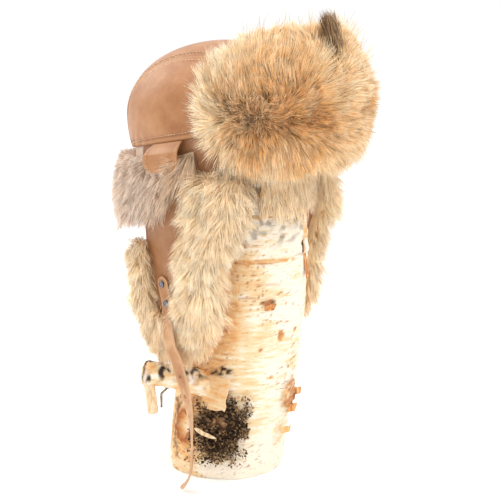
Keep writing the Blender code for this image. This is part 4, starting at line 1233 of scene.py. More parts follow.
def make_brim(hair_length, hair_width, count):
    """The brim's wool, its hair on each half, loose guard hairs and the black streak."""
    points, faces, normals = pelt("brim_fur", 9 * MM)
    random = np.random.default_rng(51)
    body = underfur("brim_underfur", points, faces, brim_colours(points, random), 0.5, finish("brim"))
    dress(body, "golden_fur", "brim_fur")
    for side, word, share in ((-1, "right", 1.0), (1, "left", 0.6)):
        def keep(middle, facing, side=side):
            level = unit(middle * (1, 1, 0))
            open_side = np.einsum("ij,ij->i", facing, level) > -0.35
            return open_side & (middle[:, 0] * side > (0 if side > 0 else -1e-9))
        number = int(count * share)
        roots, out = scatter(points, faces, normals, number, keep, 52 + side)
        lay, far = away_from(roots, PARTING * (-side, 1, 1), out)
        middle = np.exp(-(roots[:, 0] / (50 * MM)) ** 2) * ease(-roots[:, 1], 0.09, 0.13)
        lean = (ease(far, 4 * MM, 70 * MM) * (1 - 0.5 * middle))[:, None]
        swirl = np.cross(out, lay) * mottle(roots, 20 * MM, 45)[:, None] * 2.2
        tufts = tufted(roots, 6.5 * MM, 46) * 1.1
        start = out * (1.15 - 0.6 * lean) + (lay + swirl) * (0.10 + 0.85 * lean) + tufts
        end = (
            out * (0.95 - 0.65 * lean) + (lay + swirl) * (0.20 + 1.05 * lean) + tufts * 0.6
            + np.array((0, 0, -0.10))
        )
        colours = brim_colours(roots, random)
        high = (
            ease(roots[:, 0], 0.0, 20 * MM) * ease(roots[:, 2], 0.42, 0.45) * ease(-roots[:, 1], 0.06, 0.09)
        )
        long = hair_length * random.uniform(0.62, 1.12, number) * (0.72 + 0.4 * lean[:, 0]) * (1 - 0.5 * high)
        foot = ease(0.400 - roots[:, 2], 0, 30 * MM)
        long = long * (1 - 0.35 * ease(roots[:, 2], 0.445, 0.480)) * (1 + 0.45 * foot)
        end = end + foot[:, None] * np.array((0, 0, -0.5))
        width = hair_width * random.uniform(0.6, 1.15, number)
        obj = grow(
            f"brim_hair_{word}", roots, out, start, end, long, width, 0.5, colours, finish("brim"), 60 + side,
            gather=22,
        )
        dress(obj, "golden_fur")
    number = count // 14
    roots, out = scatter(points, faces, normals, number, lambda middle, facing: facing[:, 2] > -0.9, 77)
    lay, far = away_from(roots, PARTING, out)
    colours = brim_colours(roots, random)
    colours["jet"] = np.clip(colours["jet"] + (random.random(number) < 0.2), 0, 1)
    long = hair_length * random.uniform(0.9, 1.2, number)
    fine = np.full(number, hair_width * 0.55)
    dress(
        grow(
            "brim_guard_hair", roots, out, out * 0.9 + lay, out * 0.6 + lay, long, fine, 0.1, colours,
            finish("brim"), 78,
        ),
        "golden_fur",
    )
    number = count // 14
    share = random.random(number)[:, None]
    roots = (
        (1 - share) * STREAK[0] + share * STREAK[1]
        + random.normal(0, 1, (number, 3)) * STREAK_SPREAD
    )
    out = np.tile(unit(np.array([(-0.5, -0.7, 0.5)])), (number, 1))
    rise = np.array((-0.22, 0.22, 1.0))
    colours = {key: value[:number] for key, value in colours.items()}
    colours["jet"] = random.uniform(0.7, 1.0, number)
    colours["gold"] = np.full(number, 0.9)
    long = hair_length * random.uniform(0.7, 1.15, number)
    fine = hair_width * random.uniform(0.8, 1.3, number)
    dress(
        grow(
            "brim_black_streak", roots, out, rise + out * 0.25, rise - out * 0.1, long, fine, 0.5, colours,
            finish("brim"), 79,
        ),
        "golden_fur",
    )


def make_nape(hair_length, hair_width, count):
    """The cuff of fur round the nape, longer where it meets the flap."""
    points, faces, normals = pelt("nape_fur", 3 * MM)
    random = np.random.default_rng(81)

    def paint(places):
        turn = ear_turn(places)
        front = ease(-turn, -30, 8)
        gold = np.clip(
            0.15 + 0.6 * front + random.normal(0, 0.15, len(places)) + 0.3 * mottle(places, 10 * MM, 83), 0, 1
        )
        ash = np.clip(0.40 * (1 - front) + random.normal(0, 0.15, len(places)), 0, 1)
        black = (random.random(len(places)) < 0.04 + 0.12 * front) * random.uniform(0.5, 0.9, len(places))
        return {
            "gold": gold, "ash": ash, "jet": black,
            "tone": np.clip(random.normal(0.55, 0.18, len(places)), 0, 1),
        }

    dress(
        underfur("nape_underfur", points, faces, paint(points), 0.6, finish("nape")), "grey_fur", "nape_fur"
    )

    def keep(middle, facing):
        turn = ear_turn(middle)
        under_tab = (turn > 5) & (turn < 22) & (middle[:, 2] > hem_height(middle[:, 1]) - 33 * MM)
        return (np.einsum("ij,ij->i", facing, head_outward(middle)) > -0.3) & ~under_tab

    roots, out = scatter(points, faces, normals, count, keep, 84)
    low = ease(hem_height(roots[:, 1]) - roots[:, 2], 10 * MM, 70 * MM)[:, None]
    level = head_outward(roots)
    back = unit(np.cross(level, DOWN)) * np.sign(roots[:, :1])
    turn = ear_turn(roots)[:, None]
    ahead = ease(-turn, -8.0, 0.0)
    forward = ease(-turn, 1.0, 7.0)
    start = (
        out * 0.6 + DOWN * (0.25 + 0.6 * low) + level * 0.3 + back * (0.1 + 0.6 * ahead - 0.7 * forward)
        + DOWN * 1.1 * forward
    )
    tufts = tufted(roots, 8 * MM, 87)
    end = (
        tufts * 0.9 + out * 0.25 + DOWN * (0.55 + 0.6 * low) + level * 0.2
        + back * (0.4 * ahead - 0.2 * forward) + DOWN * 1.3 * forward
    )
    long = (
        hair_length * random.uniform(0.6, 1.1, count) * (0.7 + 0.45 * blotches(roots, 9 * MM, 86))
        * (0.6 + 0.75 * low[:, 0] + 0.6 * ahead[:, 0] + 1.5 * forward[:, 0])
    )
    width = hair_width * random.uniform(0.6, 1.1, count)
    dress(
        grow(
            "nape_hair", roots, out, start, end, long, width, 0.45 + 0.2 * low[:, 0], paint(roots),
            finish("nape"), 85,
        ),
        "grey_fur",
    )


def make_ears(hair_length, hair_width, count):
    """The long fur round the edges of the flaps, dark at the front one's foot, partly from dark-tipped
    hairs and partly as painted shade.
    """
    for side, word, share in ((-1, "right", 1.0), (1, "left", 0.6)):
        points, faces, normals = pelt(f"ear_fur_{word}", 1.2 * MM, rounds=2)
        random = np.random.default_rng(91 + side)
        shift = LEFT_FORWARD if side > 0 else 0.0

        def paint(places, side=side, shift=shift, random=random):
            y = places[:, 1] + shift * ease(WIDEST - places[:, 2], SWING[0], SWING[0] + SWING[1])
            # low marks the front foot, browner with more black tips: partly the fur's own dark tips, partly
            # painted shade.
            low = np.exp(-(((places[:, 2] - 0.158) / (17 * MM)) ** 2 + ((y + 0.046) / (15 * MM)) ** 2))
            front = ease(-y, 42 * MM, 66 * MM) * ease(places[:, 2], 0.20, 0.26) * (side < 0)
            gold = (
                0.26 + 0.5 * low + 0.25 * ease(-places[:, 2], -0.22, -0.14)
                + 0.35 * mottle(places, 16 * MM, 93)
            )
            gold = np.clip(gold + random.normal(0, 0.12, len(places)), 0, 1)
            ash = np.clip(0.12 * front + 0.20 * low + random.normal(0, 0.08, len(places)), 0, 1)
            black = (
                (random.random(len(places)) < 0.010 + 0.12 * front + 0.45 * low)
                * random.uniform(0.5, 1.0, len(places))
            )
            return {
                "gold": gold, "ash": ash, "jet": black,
                "tone": np.clip(random.normal(0.6, 0.13, len(places)), 0, 1),
            }

        body = underfur(f"ear_underfur_{word}", points, faces, paint(points), 0.6, finish("ears"))
        dress(body, "cream_fur", f"ear_fur_{word}")
        number = int(count * share)

        def keep(middle, facing):
            return np.einsum("ij,ij->i", facing, head_outward(middle)) > -0.75

        roots, out = scatter(points, faces, normals, number, keep, 94 + side)
        level = head_outward(roots)
        apart = unit(out - level * np.einsum("ij,ij->i", out, level)[:, None])
        tufts = tufted(roots, 8 * MM, 96)
        start = out * 0.65 + DOWN * 0.5 + apart * 0.2 + tufts * 0.9
        end = out * 0.22 + DOWN * 1.0 + apart * 0.25 + tufts * 0.9
        foot = ease(FLAP_FOOT + 20 * MM - roots[:, 2], 0, 20 * MM)
        long = (
            hair_length * random.uniform(0.6, 1.12, number) * (1 - 0.2 * foot)
            * (0.8 + 0.45 * blotches(roots, 10 * MM, 99))
        )
        width = hair_width * random.uniform(0.6, 1.1, number)
        obj = grow(
            f"ear_hair_{word}", roots, out, start, end, long, width, 0.6, paint(roots), finish("ears"),
            95 + side, gather=26,
        )
        dress(obj, "cream_fur")


def make_brow(hair_length, hair_width, count):
    """The short fringe over the brow."""
    points, faces, normals = pelt("brow_fur", 1.5 * MM)
    random = np.random.default_rng(101)

    def paint(places):
        number = len(places)
        ash = np.clip(
            0.05 + 1.1 * ease(blotches(places, 13 * MM, 103), 0.55, 0.75) + random.normal(0, 0.15, number), 0,
            1,
        )
        gold = np.clip(0.3 + random.normal(0, 0.15, number), 0, 1)
        return {
            "gold": gold, "ash": ash, "jet": (random.random(number) < 0.06) * 0.8,
            "tone": np.clip(random.normal(0.6, 0.18, number), 0, 1),
        }

    body = underfur("brow_underfur", points, faces, paint(points), 0.6, finish("ears"), jet=1.0)
    dress(body, "grey_fur", "brow_fur")

    def keep(middle, facing):
        return (
            (np.einsum("ij,ij->i", facing, head_outward(middle)) > -0.2) & (middle[:, 2] < WIDEST - 20 * MM)
        )

    roots, out = scatter(points, faces, normals, count, keep, 104)
    start = out * 0.35 + DOWN * 0.8
    end = out * 0.15 + DOWN
    long = hair_length * random.uniform(0.6, 1.1, count) * (0.35 + 1.3 * blotches(roots, 8 * MM, 106))
    width = hair_width * random.uniform(0.6, 1.1, count)
    dress(
        grow("brow_hair", roots, out, start, end, long, width, 0.5, paint(roots), finish("ears"), 105),
        "grey_fur",
    )


# Log


def log_middle(z):
    """Middle of the log and its radius at these heights."""
    rows = np.array(LOG_ROWS)
    share = np.clip(np.asarray(z) / LOG_HEIGHT, 0, 1)
    out = LOG_LEAN * np.interp(share, rows[:, 0], rows[:, 1])
    middle = np.stack(
        [out * math.cos(LEAN_HEADING), out * math.sin(LEAN_HEADING), np.asarray(z, float)], axis=-1
    )
    return middle, LOG_RADIUS * np.interp(share, rows[:, 0], rows[:, 2])


def bark_heading(turn, azimuth):
    """Level direction at this many degrees to the right of the side that the camera sees."""
    heading = np.radians(azimuth + turn)
    return np.stack([np.sin(heading), -np.cos(heading), np.zeros_like(heading)], axis=-1)


def bark_point(turn, z, azimuth, proud=0.0):
    """Points on the log at these turns and heights, this far out of its bark."""
    turn, z, proud = (np.asarray(v, float) for v in np.broadcast_arrays(turn, z, proud))
    middle, radius = log_middle(z)
    return middle + bark_heading(turn, azimuth) * (radius + proud)[..., None]


# Marks on the bark: turn, height, half width and half height in mm, how far it stands out in mm,
# then how much of it is bare, rusty and black
BARK_MARKS = (
    (19.6, 0.2012, 9, 4.0, -1.0, 0.50, 0.55, 0.00),
    (14.0, 0.2035, 4, 1.5, -1.5, 0.20, 0.30, 0.85),
    (25.0, 0.2035, 3, 1.5, -1.5, 0.20, 0.30, 0.85),
    (37.0, 0.1630, 5, 6.5, -0.6, 0.40, 0.45, 0.10),
    (56.5, 0.1673, 3, 3.0, -0.6, 0.40, 0.55, 0.30),
    (15.8, 0.1517, 3, 2.2, 0.5, 0.30, 0.55, 0.00),
    (51.2, 0.1254, 4, 2.6, 0.8, 0.30, 0.70, 0.25),
    (30.0, 0.1181, 5, 1.6, -0.4, 0.40, 0.45, 0.00),
    (58.6, 0.0930, 13, 17.0, 5.0, 0.30, 0.60, 0.00),
    (67.0, 0.0820, 5, 14.0, 2.0, 0.30, 0.80, 0.60),
    (-10.0, 0.0610, 27, 33.0, 1.0, 0.10, 0.50, 0.80),
    (-38.0, 0.0860, 14, 16.0, 0.5, 0.40, 0.30, 0.30),
    (-21.0, 0.1262, 16, 4.6, -2.5, 0.00, 0.00, 1.00),
    (-66.0, 0.0550, 13, 36.0, 0.5, 0.10, 0.30, 0.75),
    (66.3, 0.2603, 6, 9.0, -2.0, 0.30, 0.95, 0.35),
    (52.0, 0.2690, 16, 16.0, 1.2, -0.20, 0.00, 0.05),
    (5.0, 0.2490, 50, 3.0, -0.5, 0.35, 0.30, 0.00),
    (-30.0, 0.2100, 22, 30.0, 0.0, 0.25, 0.10, 0.00),
    (-20.0, 0.1650, 16, 18.0, 0.3, 0.22, 0.10, 0.00),
    (55.0, 0.0450, 12, 14.0, 0.5, 0.15, 0.10, 0.00),
)
# Lines where the outer bark is torn off: height, and the step in mm
BARK_TEARS = (
    (0.2500, 2.0),
    (0.2690, 0.9),
    (0.3050, 1.2),
    (0.2230, 0.6),
    (0.2080, 0.8),
    (0.1720, 0.4),
    (0.1400, 0.5),
    (0.1060, 1.0),
    (0.0700, 0.7),
    (0.0400, 0.6),
)
# The ring of healed bark round an old branch: turn, height, half width and half height
CALLUS = (-50.0, 0.058, 13 * MM, 20 * MM)


def make_log(azimuth, rows=210, sides=190):
    """The log's bark: a sheet round it, pushed out and painted at each point."""
    z = np.concatenate(
        [np.linspace(0.0, 0.325, rows - 30, endpoint=False), np.linspace(0.325, LOG_HEIGHT * 0.985, 30)]
    )
    turn = np.linspace(-180, 180, sides, endpoint=False)
    turn, z = np.meshgrid(turn, z)
    plain = bark_point(turn, z, azimuth)
    heading = bark_heading(turn, azimuth)
    _, radius = log_middle(z)
    seen = ease(0.34 - z, 0.0, 0.02)
    proud = (
        3.0 * MM * mottle(plain, 48 * MM, 121, (1, 1, 1.6))
        + 1.4 * MM * mottle(plain, 15 * MM, 122, (1, 1, 0.6))
    )
    proud = proud + 0.7 * MM * mottle(plain, 4.5 * MM, 123, (1, 1, 0.35))
    bare = (
        0.30 * mottle(plain, 30 * MM, 124, (1, 1, 0.7)) + 0.10
        # Painted light: the right side is made whiter; the left side more peach, as painted shade and a
        # painted warm reflection of the hat.
        - 0.16 * ease(turn, -15, 45) * ease(-turn, -175, -100)
        + 0.20 * ease(-turn, 5, 45) * ease(turn, -175, -100)
    )
    rust, soot = np.zeros_like(z), np.zeros_like(z)
    ragged = blotches(plain, 9 * MM, 125)
    fine = blotches(plain, 2.6 * MM, 129)
    scratched = (
        ease(blotches(plain, 3.4 * MM, 130, (1, 1, 0.3)), 0.74, 0.88)
        * ease(blotches(plain, 24 * MM, 131), 0.35, 0.6)
    )
    proud = proud - 0.6 * MM * scratched
    rust = np.maximum(rust, 0.75 * scratched)
    bare = (
        bare
        + 0.42 * ease(-turn, -6, 26) * ease(turn, -150, -80) * (
            blotches(plain, 12 * MM, 132, (1, 1, 7)) - 0.2
        )
    )
    crown_end = ease(z, 0.258, 0.275)
    soot = np.maximum(soot, 0.5 * crown_end * ease(blotches(plain, 5 * MM, 133), 0.5, 0.75))
    for level, depth in BARK_TEARS:
        line = level + 7 * MM * mottle(plain, 26 * MM, 126) + 2.5 * MM * (ragged - 0.5)
        proud = proud + depth * MM * (ease(z - line, -0.6 * MM, 0.6 * MM) - 0.5)
        torn = (
            np.exp(-((z - line) / (1.1 * MM)) ** 2)
            * ease(blotches(plain, 17 * MM, 134 + int(level * 1000)), 0.55 if depth < 1.5 else 0.2, 0.75)
        )
        rust = np.maximum(rust, min(0.3 + 0.3 * depth, 0.95) * torn)
    for at, height, wide, tall, out, peeled, rusty, black in BARK_MARKS:
        off = (turn - at + 180) % 360 - 180
        far = (np.radians(off) * radius / (wide * MM)) ** 2 + ((z - height) / (tall * MM)) ** 2
        near = ease(1.2 - far - 1.0 * (ragged - 0.5) - 1.5 * (fine - 0.5), 0.0, 0.6)
        proud = proud + out * MM * near
        bare = bare + peeled * near
        rust = np.maximum(rust, 1.3 * rusty * near * ease(blotches(plain, 3 * MM, 127), 0.2, 0.7))
        soot = np.maximum(soot, black * near * ease(blotches(plain, 3.5 * MM, 128), 0.25, 0.7))
    at, height, wide, tall = CALLUS
    off = (turn - at + 180) % 360 - 180
    far = np.hypot(np.radians(off) * radius / wide, (z - height) / tall) + 0.25 * (fine - 0.5)
    callus = (
        np.exp(-((far - 0.85) / 0.26) ** 2)
        * (1 - 0.8 * ease(off, 4, 12) * ease(0.02 - np.abs(z - height), 0, 0.008))
    )
    proud = proud + 4.5 * MM * callus
    rust = np.maximum(rust * (far > 0.9), callus)
    bare = bare - 0.35 * ease(0.8 - far, 0, 0.3)
    soot = soot * ease(far, 0.9, 1.3)
    foot = ease(0.012 - z, 0.0, 0.012)
    bare = bare - 0.25 * ease(0.026 - z, 0.0, 0.012)
    proud = proud - 2.0 * MM * foot * ragged
    proud = np.where(z > 0.33, np.minimum(proud, 0.0) - 0.5 * MM, proud)
    grid = plain + heading * (proud * seen + np.minimum(proud, 0) * (1 - seen))[..., None]
    points = grid.reshape(-1, 3)
    quads = grid_quads(rows, sides, closed=True)
    caps = [np.arange(sides)[None, ::-1], (np.arange(sides) + (rows - 1) * sides)[None]]
    obj = mesh_object(
        "birch_log", points, [quads, *caps], finish("bark"), bare=np.minimum(bare, 0.30).ravel(),
        rust=np.clip(rust, 0, 1).ravel(), soot=np.clip(soot, 0, 1).ravel(),
    )
    dress(obj, "birch_bark", "log")
    return obj


def curl(name, turn, z, size, azimuth, material, roll, ragged, seed, hinge):
    """A sheet of bark that stays on the log along one edge and lifts off it at the other."""
    wide, tall, lift, thick = size
    rows, columns = 28, 28
    down, across = np.meshgrid(np.linspace(0, 1, rows), np.linspace(0, 1, columns), indexing="ij")
    rise = {"left": across, "right": 1 - across, "top": down, "foot": 1 - down}[hinge]
    _, radius = log_middle(z)
    heights = z + tall / 2 - tall * down
    shaped = (
        1
        - 0.3 * ragged * (
            np.abs(2 * down - 1) ** 3 if hinge in ("left", "right") else np.abs(2 * across - 1) ** 3
        )
    )
    angle = turn + np.degrees(wide / radius) * (across - 0.5) * (shaped if hinge in ("top", "foot") else 1)
    plain = bark_point(angle, heights, azimuth)
    rough = blotches(plain, 5 * MM, 140 + seed) - 0.5
    heights = heights + ragged * 3 * MM * rough * ease(rise, 0.5, 1.0)
    proud = 0.8 * MM + lift * rise**roll + 1.2 * MM * rough * rise
    grid = bark_point(angle + np.degrees(1.5 * MM * ragged * rough * rise / radius), heights, azimuth, proud)
    out = unit(np.cross(np.gradient(grid, axis=1), np.gradient(grid, axis=0)))
    if (out * bark_heading(angle, azimuth)).sum() < 0:
        out = -out
    piece = hide_piece(name, grid, out, thick, material)
    for key, value in (("bare", 0.25), ("rust", 0.0), ("soot", 0.0)):
        layer = piece.data.attributes.new(key, "FLOAT", "POINT")
        layer.data.foreach_set("value", np.full(len(piece.data.vertices), value, np.float32))
    return dress(piece, "birch_bark")


def stem(name, line, radii, material, sides=40, lumps=1.2 * MM, seed=1, **paint):
    """A round stem through these points, knobbly by lumps, with closed ends."""
    line = resample(line, len(radii) - 1)
    along = unit(np.gradient(line, axis=0))
    first = unit(np.cross(along[0], (0.0, 0.0, 1.0)))
    across = unit(np.cross(np.cross(along, first), along))
    up = np.cross(along, across)
    turns = np.arange(sides) * 2 * math.pi / sides
    spoke = across[:, None] * np.cos(turns)[:, None] + up[:, None] * np.sin(turns)[:, None]
    grid = line[:, None] + spoke * np.asarray(radii)[:, None, None]
    bumps = lumps * mottle(grid, 7 * MM, 160 + seed) + lumps * 0.6 * mottle(grid, 3 * MM, 161 + seed)
    grid = grid + spoke * (2 * bumps)[..., None]
    points = grid.reshape(-1, 3)
    count = len(line) * sides
    caps = [np.arange(sides)[None, ::-1], np.arange(count - sides, count)[None]]
    values = {key: value(grid).ravel() for key, value in paint.items()}
    return dress(
        mesh_object(name, points, [grid_quads(len(line), sides, closed=True), *caps], material, **values),
        "birch_bark",
    )


# Knobs at the branch's end: across and up from its middle, and radius, in mm
BRANCH_KNOBS = ((-2, 5, 3.2), (3, -4, 3.0), (0, -9, 2.2), (-4, -1, 2.6))


def make_branch(azimuth):
    """The sawn branch with its knobs, the peg under it and the twig behind them."""
    root, tip = np.array(BRANCH_ROOT), np.array(BRANCH_TIP)
    share = np.linspace(0, 1, 70)
    radii = (
        BRANCH_RADIUS
        * (
            1.02 - 0.14 * ease(share, 0.2, 0.6) + 0.10 * np.exp(-((share - 0.9) / 0.08) ** 2)
            - 0.55 * ease(share, 0.955, 1.02)
        )
    )

    def soot(grid):
        return (
            ease(blotches(grid, 4.5 * MM, 171, (1, 1, 2.5)), 0.42, 0.62)
            * ease(grid[..., 2] - 0.118, -3 * MM, 6 * MM)
        )

    def bare(grid):
        return 0.12 + 0.5 * mottle(grid, 9 * MM, 172)

    def rust(grid):
        return 0.35 * ease(blotches(grid, 6 * MM, 173), 0.6, 0.8)

    line = np.stack([root, (root + tip) / 2 + (0, 0, 1.5 * MM), tip])
    stem("branch_stub", line, radii, finish("bark"), seed=2, bare=bare, rust=rust, soot=soot)
    peg_top, peg_foot = np.array(PEG_TOP), np.array(PEG_FOOT)
    share = np.linspace(0, 1, 40)
    rounded = np.sqrt(np.clip(1 - ((share - 0.90) / 0.10).clip(0) ** 2, 0.02, 1))
    stem(
        "peeled_peg", np.stack([peg_top, (peg_top + peg_foot) / 2, peg_foot]), PEG_RADIUS * rounded,
        finish("wood"), lumps=0.3 * MM, seed=4,
    )
    away = unit(tip - root)
    knot = tip - away * 3 * MM
    for i, (dx, dz, size) in enumerate(BRANCH_KNOBS):
        side = np.cross(away, (0, 0, 1.0)) * dx * MM + np.array((0, 0, dz * MM))
        line = np.stack(
            [knot - away * 6 * MM + side * 0.6, knot + side, knot + side * 1.15 + away * 2.5 * MM]
        )
        radii = size * MM * np.array([1.0, 1.15, 1.2, 1.1, 0.85, 0.4])
        stem(f"branch_knob_{i + 1}", line, radii, finish("twig"), sides=18, lumps=0.5 * MM, seed=8 + i)
    link = np.stack(
        [
            bark_point(-66, 0.112, azimuth, 1 * MM), peg_top * 0.55 + peg_foot * 0.45 + (0.006, -0.010, 0.0),
            peg_foot + (0.004, -0.008, 0.008),
        ]
    )
    stem(
        "twig_link", link, 1.6 * MM * np.linspace(1.2, 0.7, 16), finish("twig"), sides=14, lumps=0.5 * MM,
        seed=14,
    )


def make_moss(azimuth, count=7500):
    """Crumbs and blades of dead moss, thickest in the middle of the patch."""
    random = np.random.default_rng(181)
    turn = -10 + random.normal(0, 13, count)
    z = 0.061 + random.normal(0, 19 * MM, count)
    keep = (
        (turn < 16) & (turn > -42) & (z > 0.018) & (z < 0.100)
        & (blotches(bark_point(turn, z, azimuth), 8 * MM, 182) > 0.33)
    )
    turn, z = turn[keep], z[keep]
    number = len(turn)
    at = bark_point(turn, z, azimuth, 0.8 * MM)
    out = bark_heading(turn, azimuth)
    lean = unit(out + random.normal(0, 0.8, (number, 3)))
    across = unit(np.cross(lean, random.normal(size=(number, 3))))
    size = random.uniform(0.8, 3.0, number)[:, None] * MM
    points = np.stack(
        [
            at - across * size * 0.45, at + across * size * 0.45,
            at + lean * size * 0.7 + across * size * 0.4, at + lean * size * 1.3,
            at + lean * size * 0.6 - across * size * 0.4,
        ],
        1,
    )
    faces = np.array([(0, 1, 2), (0, 2, 4), (4, 2, 3)])[None] + 5 * np.arange(number)[:, None, None]
    dress(
        mesh_object("moss_crumbs", points.reshape(-1, 3), faces.reshape(-1, 3), finish("moss")), "birch_bark"
    )


# Loose bark: name, turn, height, width, height and lift in mm, finish, how sharply it rolls, how
# ragged it is, the edge that holds it and its thickness in mm
BARK_CURLS = (
    ("bark_tongue", -20.0, 0.1035, 28, 37, 9, "bark", 1.3, 1.8, "left", 1.6),
    ("bark_peel_top", 64.0, 0.2760, 9, 17, 6, "bark", 1.2, 1.2, "left", 0.5),
    ("bark_peel_side", 68.0, 0.2400, 10, 34, 5, "inner", 1.5, 1.5, "top", 0.5),
    ("bark_peel_red", 66.0, 0.2580, 8, 12, 3, "inner", 1.2, 1.0, "right", 0.5),
    ("bark_flap_scar", 20.0, 0.1985, 15, 7, 4, "inner", 1.4, 1.0, "foot", 0.5),
    ("bark_shaving", -18.5, 0.1850, 8, 4, 9, "straw", 1.6, 0.4, "left", 0.5),
    ("bark_shred", -19.0, 0.1760, 7, 9, 4, "inner", 1.3, 1.6, "left", 0.5),
    ("bark_chip_knot", 66.0, 0.0930, 9, 8, 7, "inner", 1.3, 1.4, "left", 0.5),
    ("bark_chip_low", 62.0, 0.0740, 9, 9, 6, "inner", 1.3, 1.4, "left", 0.5),
    ("bark_chip_foot", 58.0, 0.0500, 9, 8, 5, "straw", 1.3, 1.4, "left", 0.5),
    ("bark_tear_line", 12.0, 0.2515, 62, 5, 2.5, "bark", 1.6, 1.4, "top", 0.5),
    ("bark_tear_upper", 8.0, 0.3010, 70, 9, 4, "bark", 1.6, 1.6, "top", 0.5),
    ("bark_sheet_left", -24.0, 0.2250, 30, 40, 1.8, "bark", 1.6, 1.5, "right", 0.5),
)


def make_bark_pieces(azimuth):
    """Curls, chips and sheets of loose bark, and a splinter in the old scar."""
    for seed, (name, turn, z, wide, tall, lift, key, roll, ragged, hinge, thick) in enumerate(BARK_CURLS, 1):
        size = (wide * MM, tall * MM, lift * MM, thick * MM)
        curl(name, turn, z, size, azimuth, finish(key), roll, ragged, seed, hinge)
    splinter = np.stack(
        [
            bark_point(-34, 0.0600, azimuth, 3 * MM), bark_point(-24, 0.0570, azimuth, 6 * MM),
            bark_point(-12, 0.0525, azimuth, 5 * MM),
        ]
    )
    stem(
        "wood_splinter", splinter, 2.2 * MM * np.array([0.4, 0.8, 1.0, 1.1, 1.0, 0.9, 0.8, 0.5, 0.2]),
        finish("wood"), sides=14, lumps=0.8 * MM, seed=22,
    )


# Studio

# Soft lamps: name, turn from the camera and lift in degrees, distance, size and power
STUDIO_LAMPS = (("soft_key", 50, 50, 2.4, 1.6, 24), ("soft_back", -120, 40, 2.2, 1.4, 20))
FLOOR_HALF = 16
SKY_LIGHT = 1.03


def make_studio(azimuth, distance, height, pitch, lens, yaw):
    """A white floor and world, two soft lights and the camera of the photo."""
    scene = bpy.context.scene
    corners = FLOOR_HALF * np.array([(-1, -1, 0), (1, -1, 0), (1, 1, 0), (-1, 1, 0)], float)
    floor = mesh_object("studio_floor", corners, np.array([[0, 1, 2, 3]]), finish("paper"))
    world = bpy.data.worlds.new("Studio")
    world.use_nodes = True
    world.node_tree.nodes["Background"].inputs["Color"].default_value = (1.0, 1.0, 1.0, 1.0)
    world.node_tree.nodes["Background"].inputs["Strength"].default_value = SKY_LIGHT
    scene.world = world
    for name, turn, lift, far, size, power in STUDIO_LAMPS:
        lamp = bpy.data.lights.new(name, "AREA")
        lamp.size = size
        lamp.energy = power
        obj = bpy.data.objects.new(name, lamp)
        heading = math.radians(azimuth + turn)
        lift = math.radians(lift)
        way = Vector(
            (math.sin(heading) * math.cos(lift), -math.cos(heading) * math.cos(lift), math.sin(lift))
        )
        obj.location = way * far + Vector((0, 0, 0.25))
        obj.rotation_euler = way.to_track_quat("Z", "Y").to_euler()
        scene.collection.objects.link(obj)
    camera = bpy.data.cameras.new("photo_camera")
    camera.lens = lens
    camera.sensor_width = 36.0
    obj = bpy.data.objects.new("photo_camera", camera)
    turn = math.radians(azimuth)
    obj.location = (math.sin(turn) * distance, -math.cos(turn) * distance, height)
    obj.rotation_euler = (math.radians(90 - pitch), 0.0, turn - math.radians(yaw))
    scene.collection.objects.link(obj)
    scene.camera = obj
    scene.view_settings.view_transform = "Standard"


# Add-on


class HatLeatherSizes(bpy.types.PropertyGroup):
    """Sizes of the leather work."""

    stitch_pitch: FloatProperty(
        name="Stitch pitch", description="From one stitch to the next", default=3.6 * MM, unit="LENGTH"
    )


class HatFurSizes(bpy.types.PropertyGroup):
    """Sizes of the fur."""

    brim_hair: FloatProperty(
        name="Brim hair", description="Length of the brim's hair", default=28 * MM, unit="LENGTH"
    )
    nape_hair: FloatProperty(
        name="Nape hair", description="Length of the nape's hair", default=20 * MM, unit="LENGTH"
    )
    ear_hair: FloatProperty(
        name="Ear hair", description="Length of the hair down the flaps", default=23 * MM, unit="LENGTH"
    )
    brow_hair: FloatProperty(
        name="Brow hair", description="Length of the hair over the brow", default=15 * MM, unit="LENGTH"
    )
    # A coyote's hair is under 0.1 mm thick, too fine to show, so each ribbon stands for several
    hair_width: FloatProperty(
        name="Hair width", description="Width of a ribbon of hair", default=0.80 * MM, unit="LENGTH"
    )
    brim_count: IntProperty(name="Brim hairs", description="Hairs on the brim's right half", default=30000)
    nape_count: IntProperty(name="Nape hairs", description="Hairs on the nape", default=16000)
    ear_count: IntProperty(name="Ear hairs", description="Hairs on the right flap's border", default=21000)
    brow_count: IntProperty(name="Brow hairs", description="Hairs over the brow", default=5000)


class StudioSizes(bpy.types.PropertyGroup):
    """Place of the camera round the hat."""

    azimuth: FloatProperty(
        name="Azimuth", description="Camera's angle round the hat", default=math.radians(-61), subtype="ANGLE"
    )
    distance: FloatProperty(
        name="Distance", description="Camera's distance from the hat's axis", default=1.55, unit="LENGTH"
    )
    height: FloatProperty(
        name="Height", description="Camera's height over the floor", default=0.60, unit="LENGTH"
    )
    pitch: FloatProperty(
        name="Pitch", description="How far the camera looks down", default=math.radians(12.85),
        subtype="ANGLE",
    )
    yaw: FloatProperty(
        name="Yaw", description="How far the camera looks past the hat", default=math.radians(1.0),
        subtype="ANGLE",
    )
    lens: FloatProperty(name="Lens", description="Focal length in millimetres", default=103.0)


class HAT_OT_leather(bpy.types.Operator):
    """Crown, nape band, ear flaps, linings and tabs"""

    bl_idname = "hat.leather"
    bl_label = "Leather"

    def execute(self, context):
        sizes = context.scene.hat_leather
        make_crown(sizes.stitch_pitch)
        make_band()
        make_flaps()
        make_tabs(sizes.stitch_pitch)
        return {"FINISHED"}


class HAT_OT_straps(bpy.types.Operator):
    """Punched strap, buckle strap, rivets and buckle"""

    bl_idname = "hat.straps"
    bl_label = "Straps"

    def execute(self, context):
        make_straps()
        make_metal()
        return {"FINISHED"}


class HAT_OT_brim_fur(bpy.types.Operator):
    """Deep fur of the turned-up brim"""

    bl_idname = "hat.brim_fur"
    bl_label = "Brim fur"

    def execute(self, context):
        sizes = context.scene.hat_fur
        make_brim(sizes.brim_hair, sizes.hair_width, sizes.brim_count)
        return {"FINISHED"}


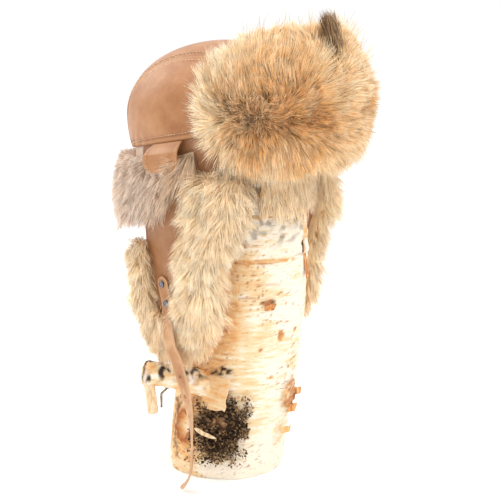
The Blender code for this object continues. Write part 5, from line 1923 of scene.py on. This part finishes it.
class HAT_OT_other_fur(bpy.types.Operator):
    """Fur of the nape, the flaps' borders and the brow"""

    bl_idname = "hat.other_fur"
    bl_label = "Nape, ear and brow fur"

    def execute(self, context):
        sizes = context.scene.hat_fur
        make_nape(sizes.nape_hair, sizes.hair_width, sizes.nape_count)
        make_ears(sizes.ear_hair, sizes.hair_width, sizes.ear_count)
        make_brow(sizes.brow_hair, sizes.hair_width, sizes.brow_count)
        return {"FINISHED"}


class HAT_OT_log(bpy.types.Operator):
    """Birch log with its branch, peeling bark and moss"""

    bl_idname = "hat.log"
    bl_label = "Birch log"

    def execute(self, context):
        azimuth = math.degrees(context.scene.hat_studio.azimuth)
        make_log(azimuth)
        make_branch(azimuth)
        make_bark_pieces(azimuth)
        make_moss(azimuth)
        return {"FINISHED"}


class HAT_OT_studio(bpy.types.Operator):
    """White floor, soft lights and the camera"""

    bl_idname = "hat.studio"
    bl_label = "Studio"

    def execute(self, context):
        place = context.scene.hat_studio
        azimuth, pitch, yaw = (math.degrees(v) for v in (place.azimuth, place.pitch, place.yaw))
        make_studio(azimuth, place.distance, place.height, pitch, place.lens, yaw)
        return {"FINISHED"}


OPERATORS = (HAT_OT_leather, HAT_OT_straps, HAT_OT_brim_fur, HAT_OT_other_fur, HAT_OT_log, HAT_OT_studio)
SIZES = (("hat_leather", HatLeatherSizes), ("hat_fur", HatFurSizes), ("hat_studio", StudioSizes))


class HAT_PT_panel(bpy.types.Panel):
    """Operators and sizes of the hat"""

    bl_label = "Aviator hat"
    bl_idname = "HAT_PT_panel"
    bl_space_type = "VIEW_3D"
    bl_region_type = "UI"
    bl_category = "Hat"

    def draw(self, context):
        for operator in OPERATORS:
            self.layout.operator(operator.bl_idname)
        for name, group in SIZES:
            box = self.layout.box()
            for key in group.__annotations__:
                box.prop(getattr(context.scene, name), key)


def register():
    for name, group in SIZES:
        bpy.utils.register_class(group)
        setattr(bpy.types.Scene, name, PointerProperty(type=group))
    for operator in OPERATORS:
        bpy.utils.register_class(operator)
    bpy.utils.register_class(HAT_PT_panel)


def unregister():
    bpy.utils.unregister_class(HAT_PT_panel)
    for operator in reversed(OPERATORS):
        bpy.utils.unregister_class(operator)
    for name, group in reversed(SIZES):
        delattr(bpy.types.Scene, name)
        bpy.utils.unregister_class(group)


def main():
    register()
    bpy.ops.hat.studio()
    bpy.ops.hat.log()
    bpy.ops.hat.leather()
    bpy.ops.hat.straps()
    bpy.ops.hat.brim_fur()
    bpy.ops.hat.other_fur()


if __name__ == "__main__":
    main()
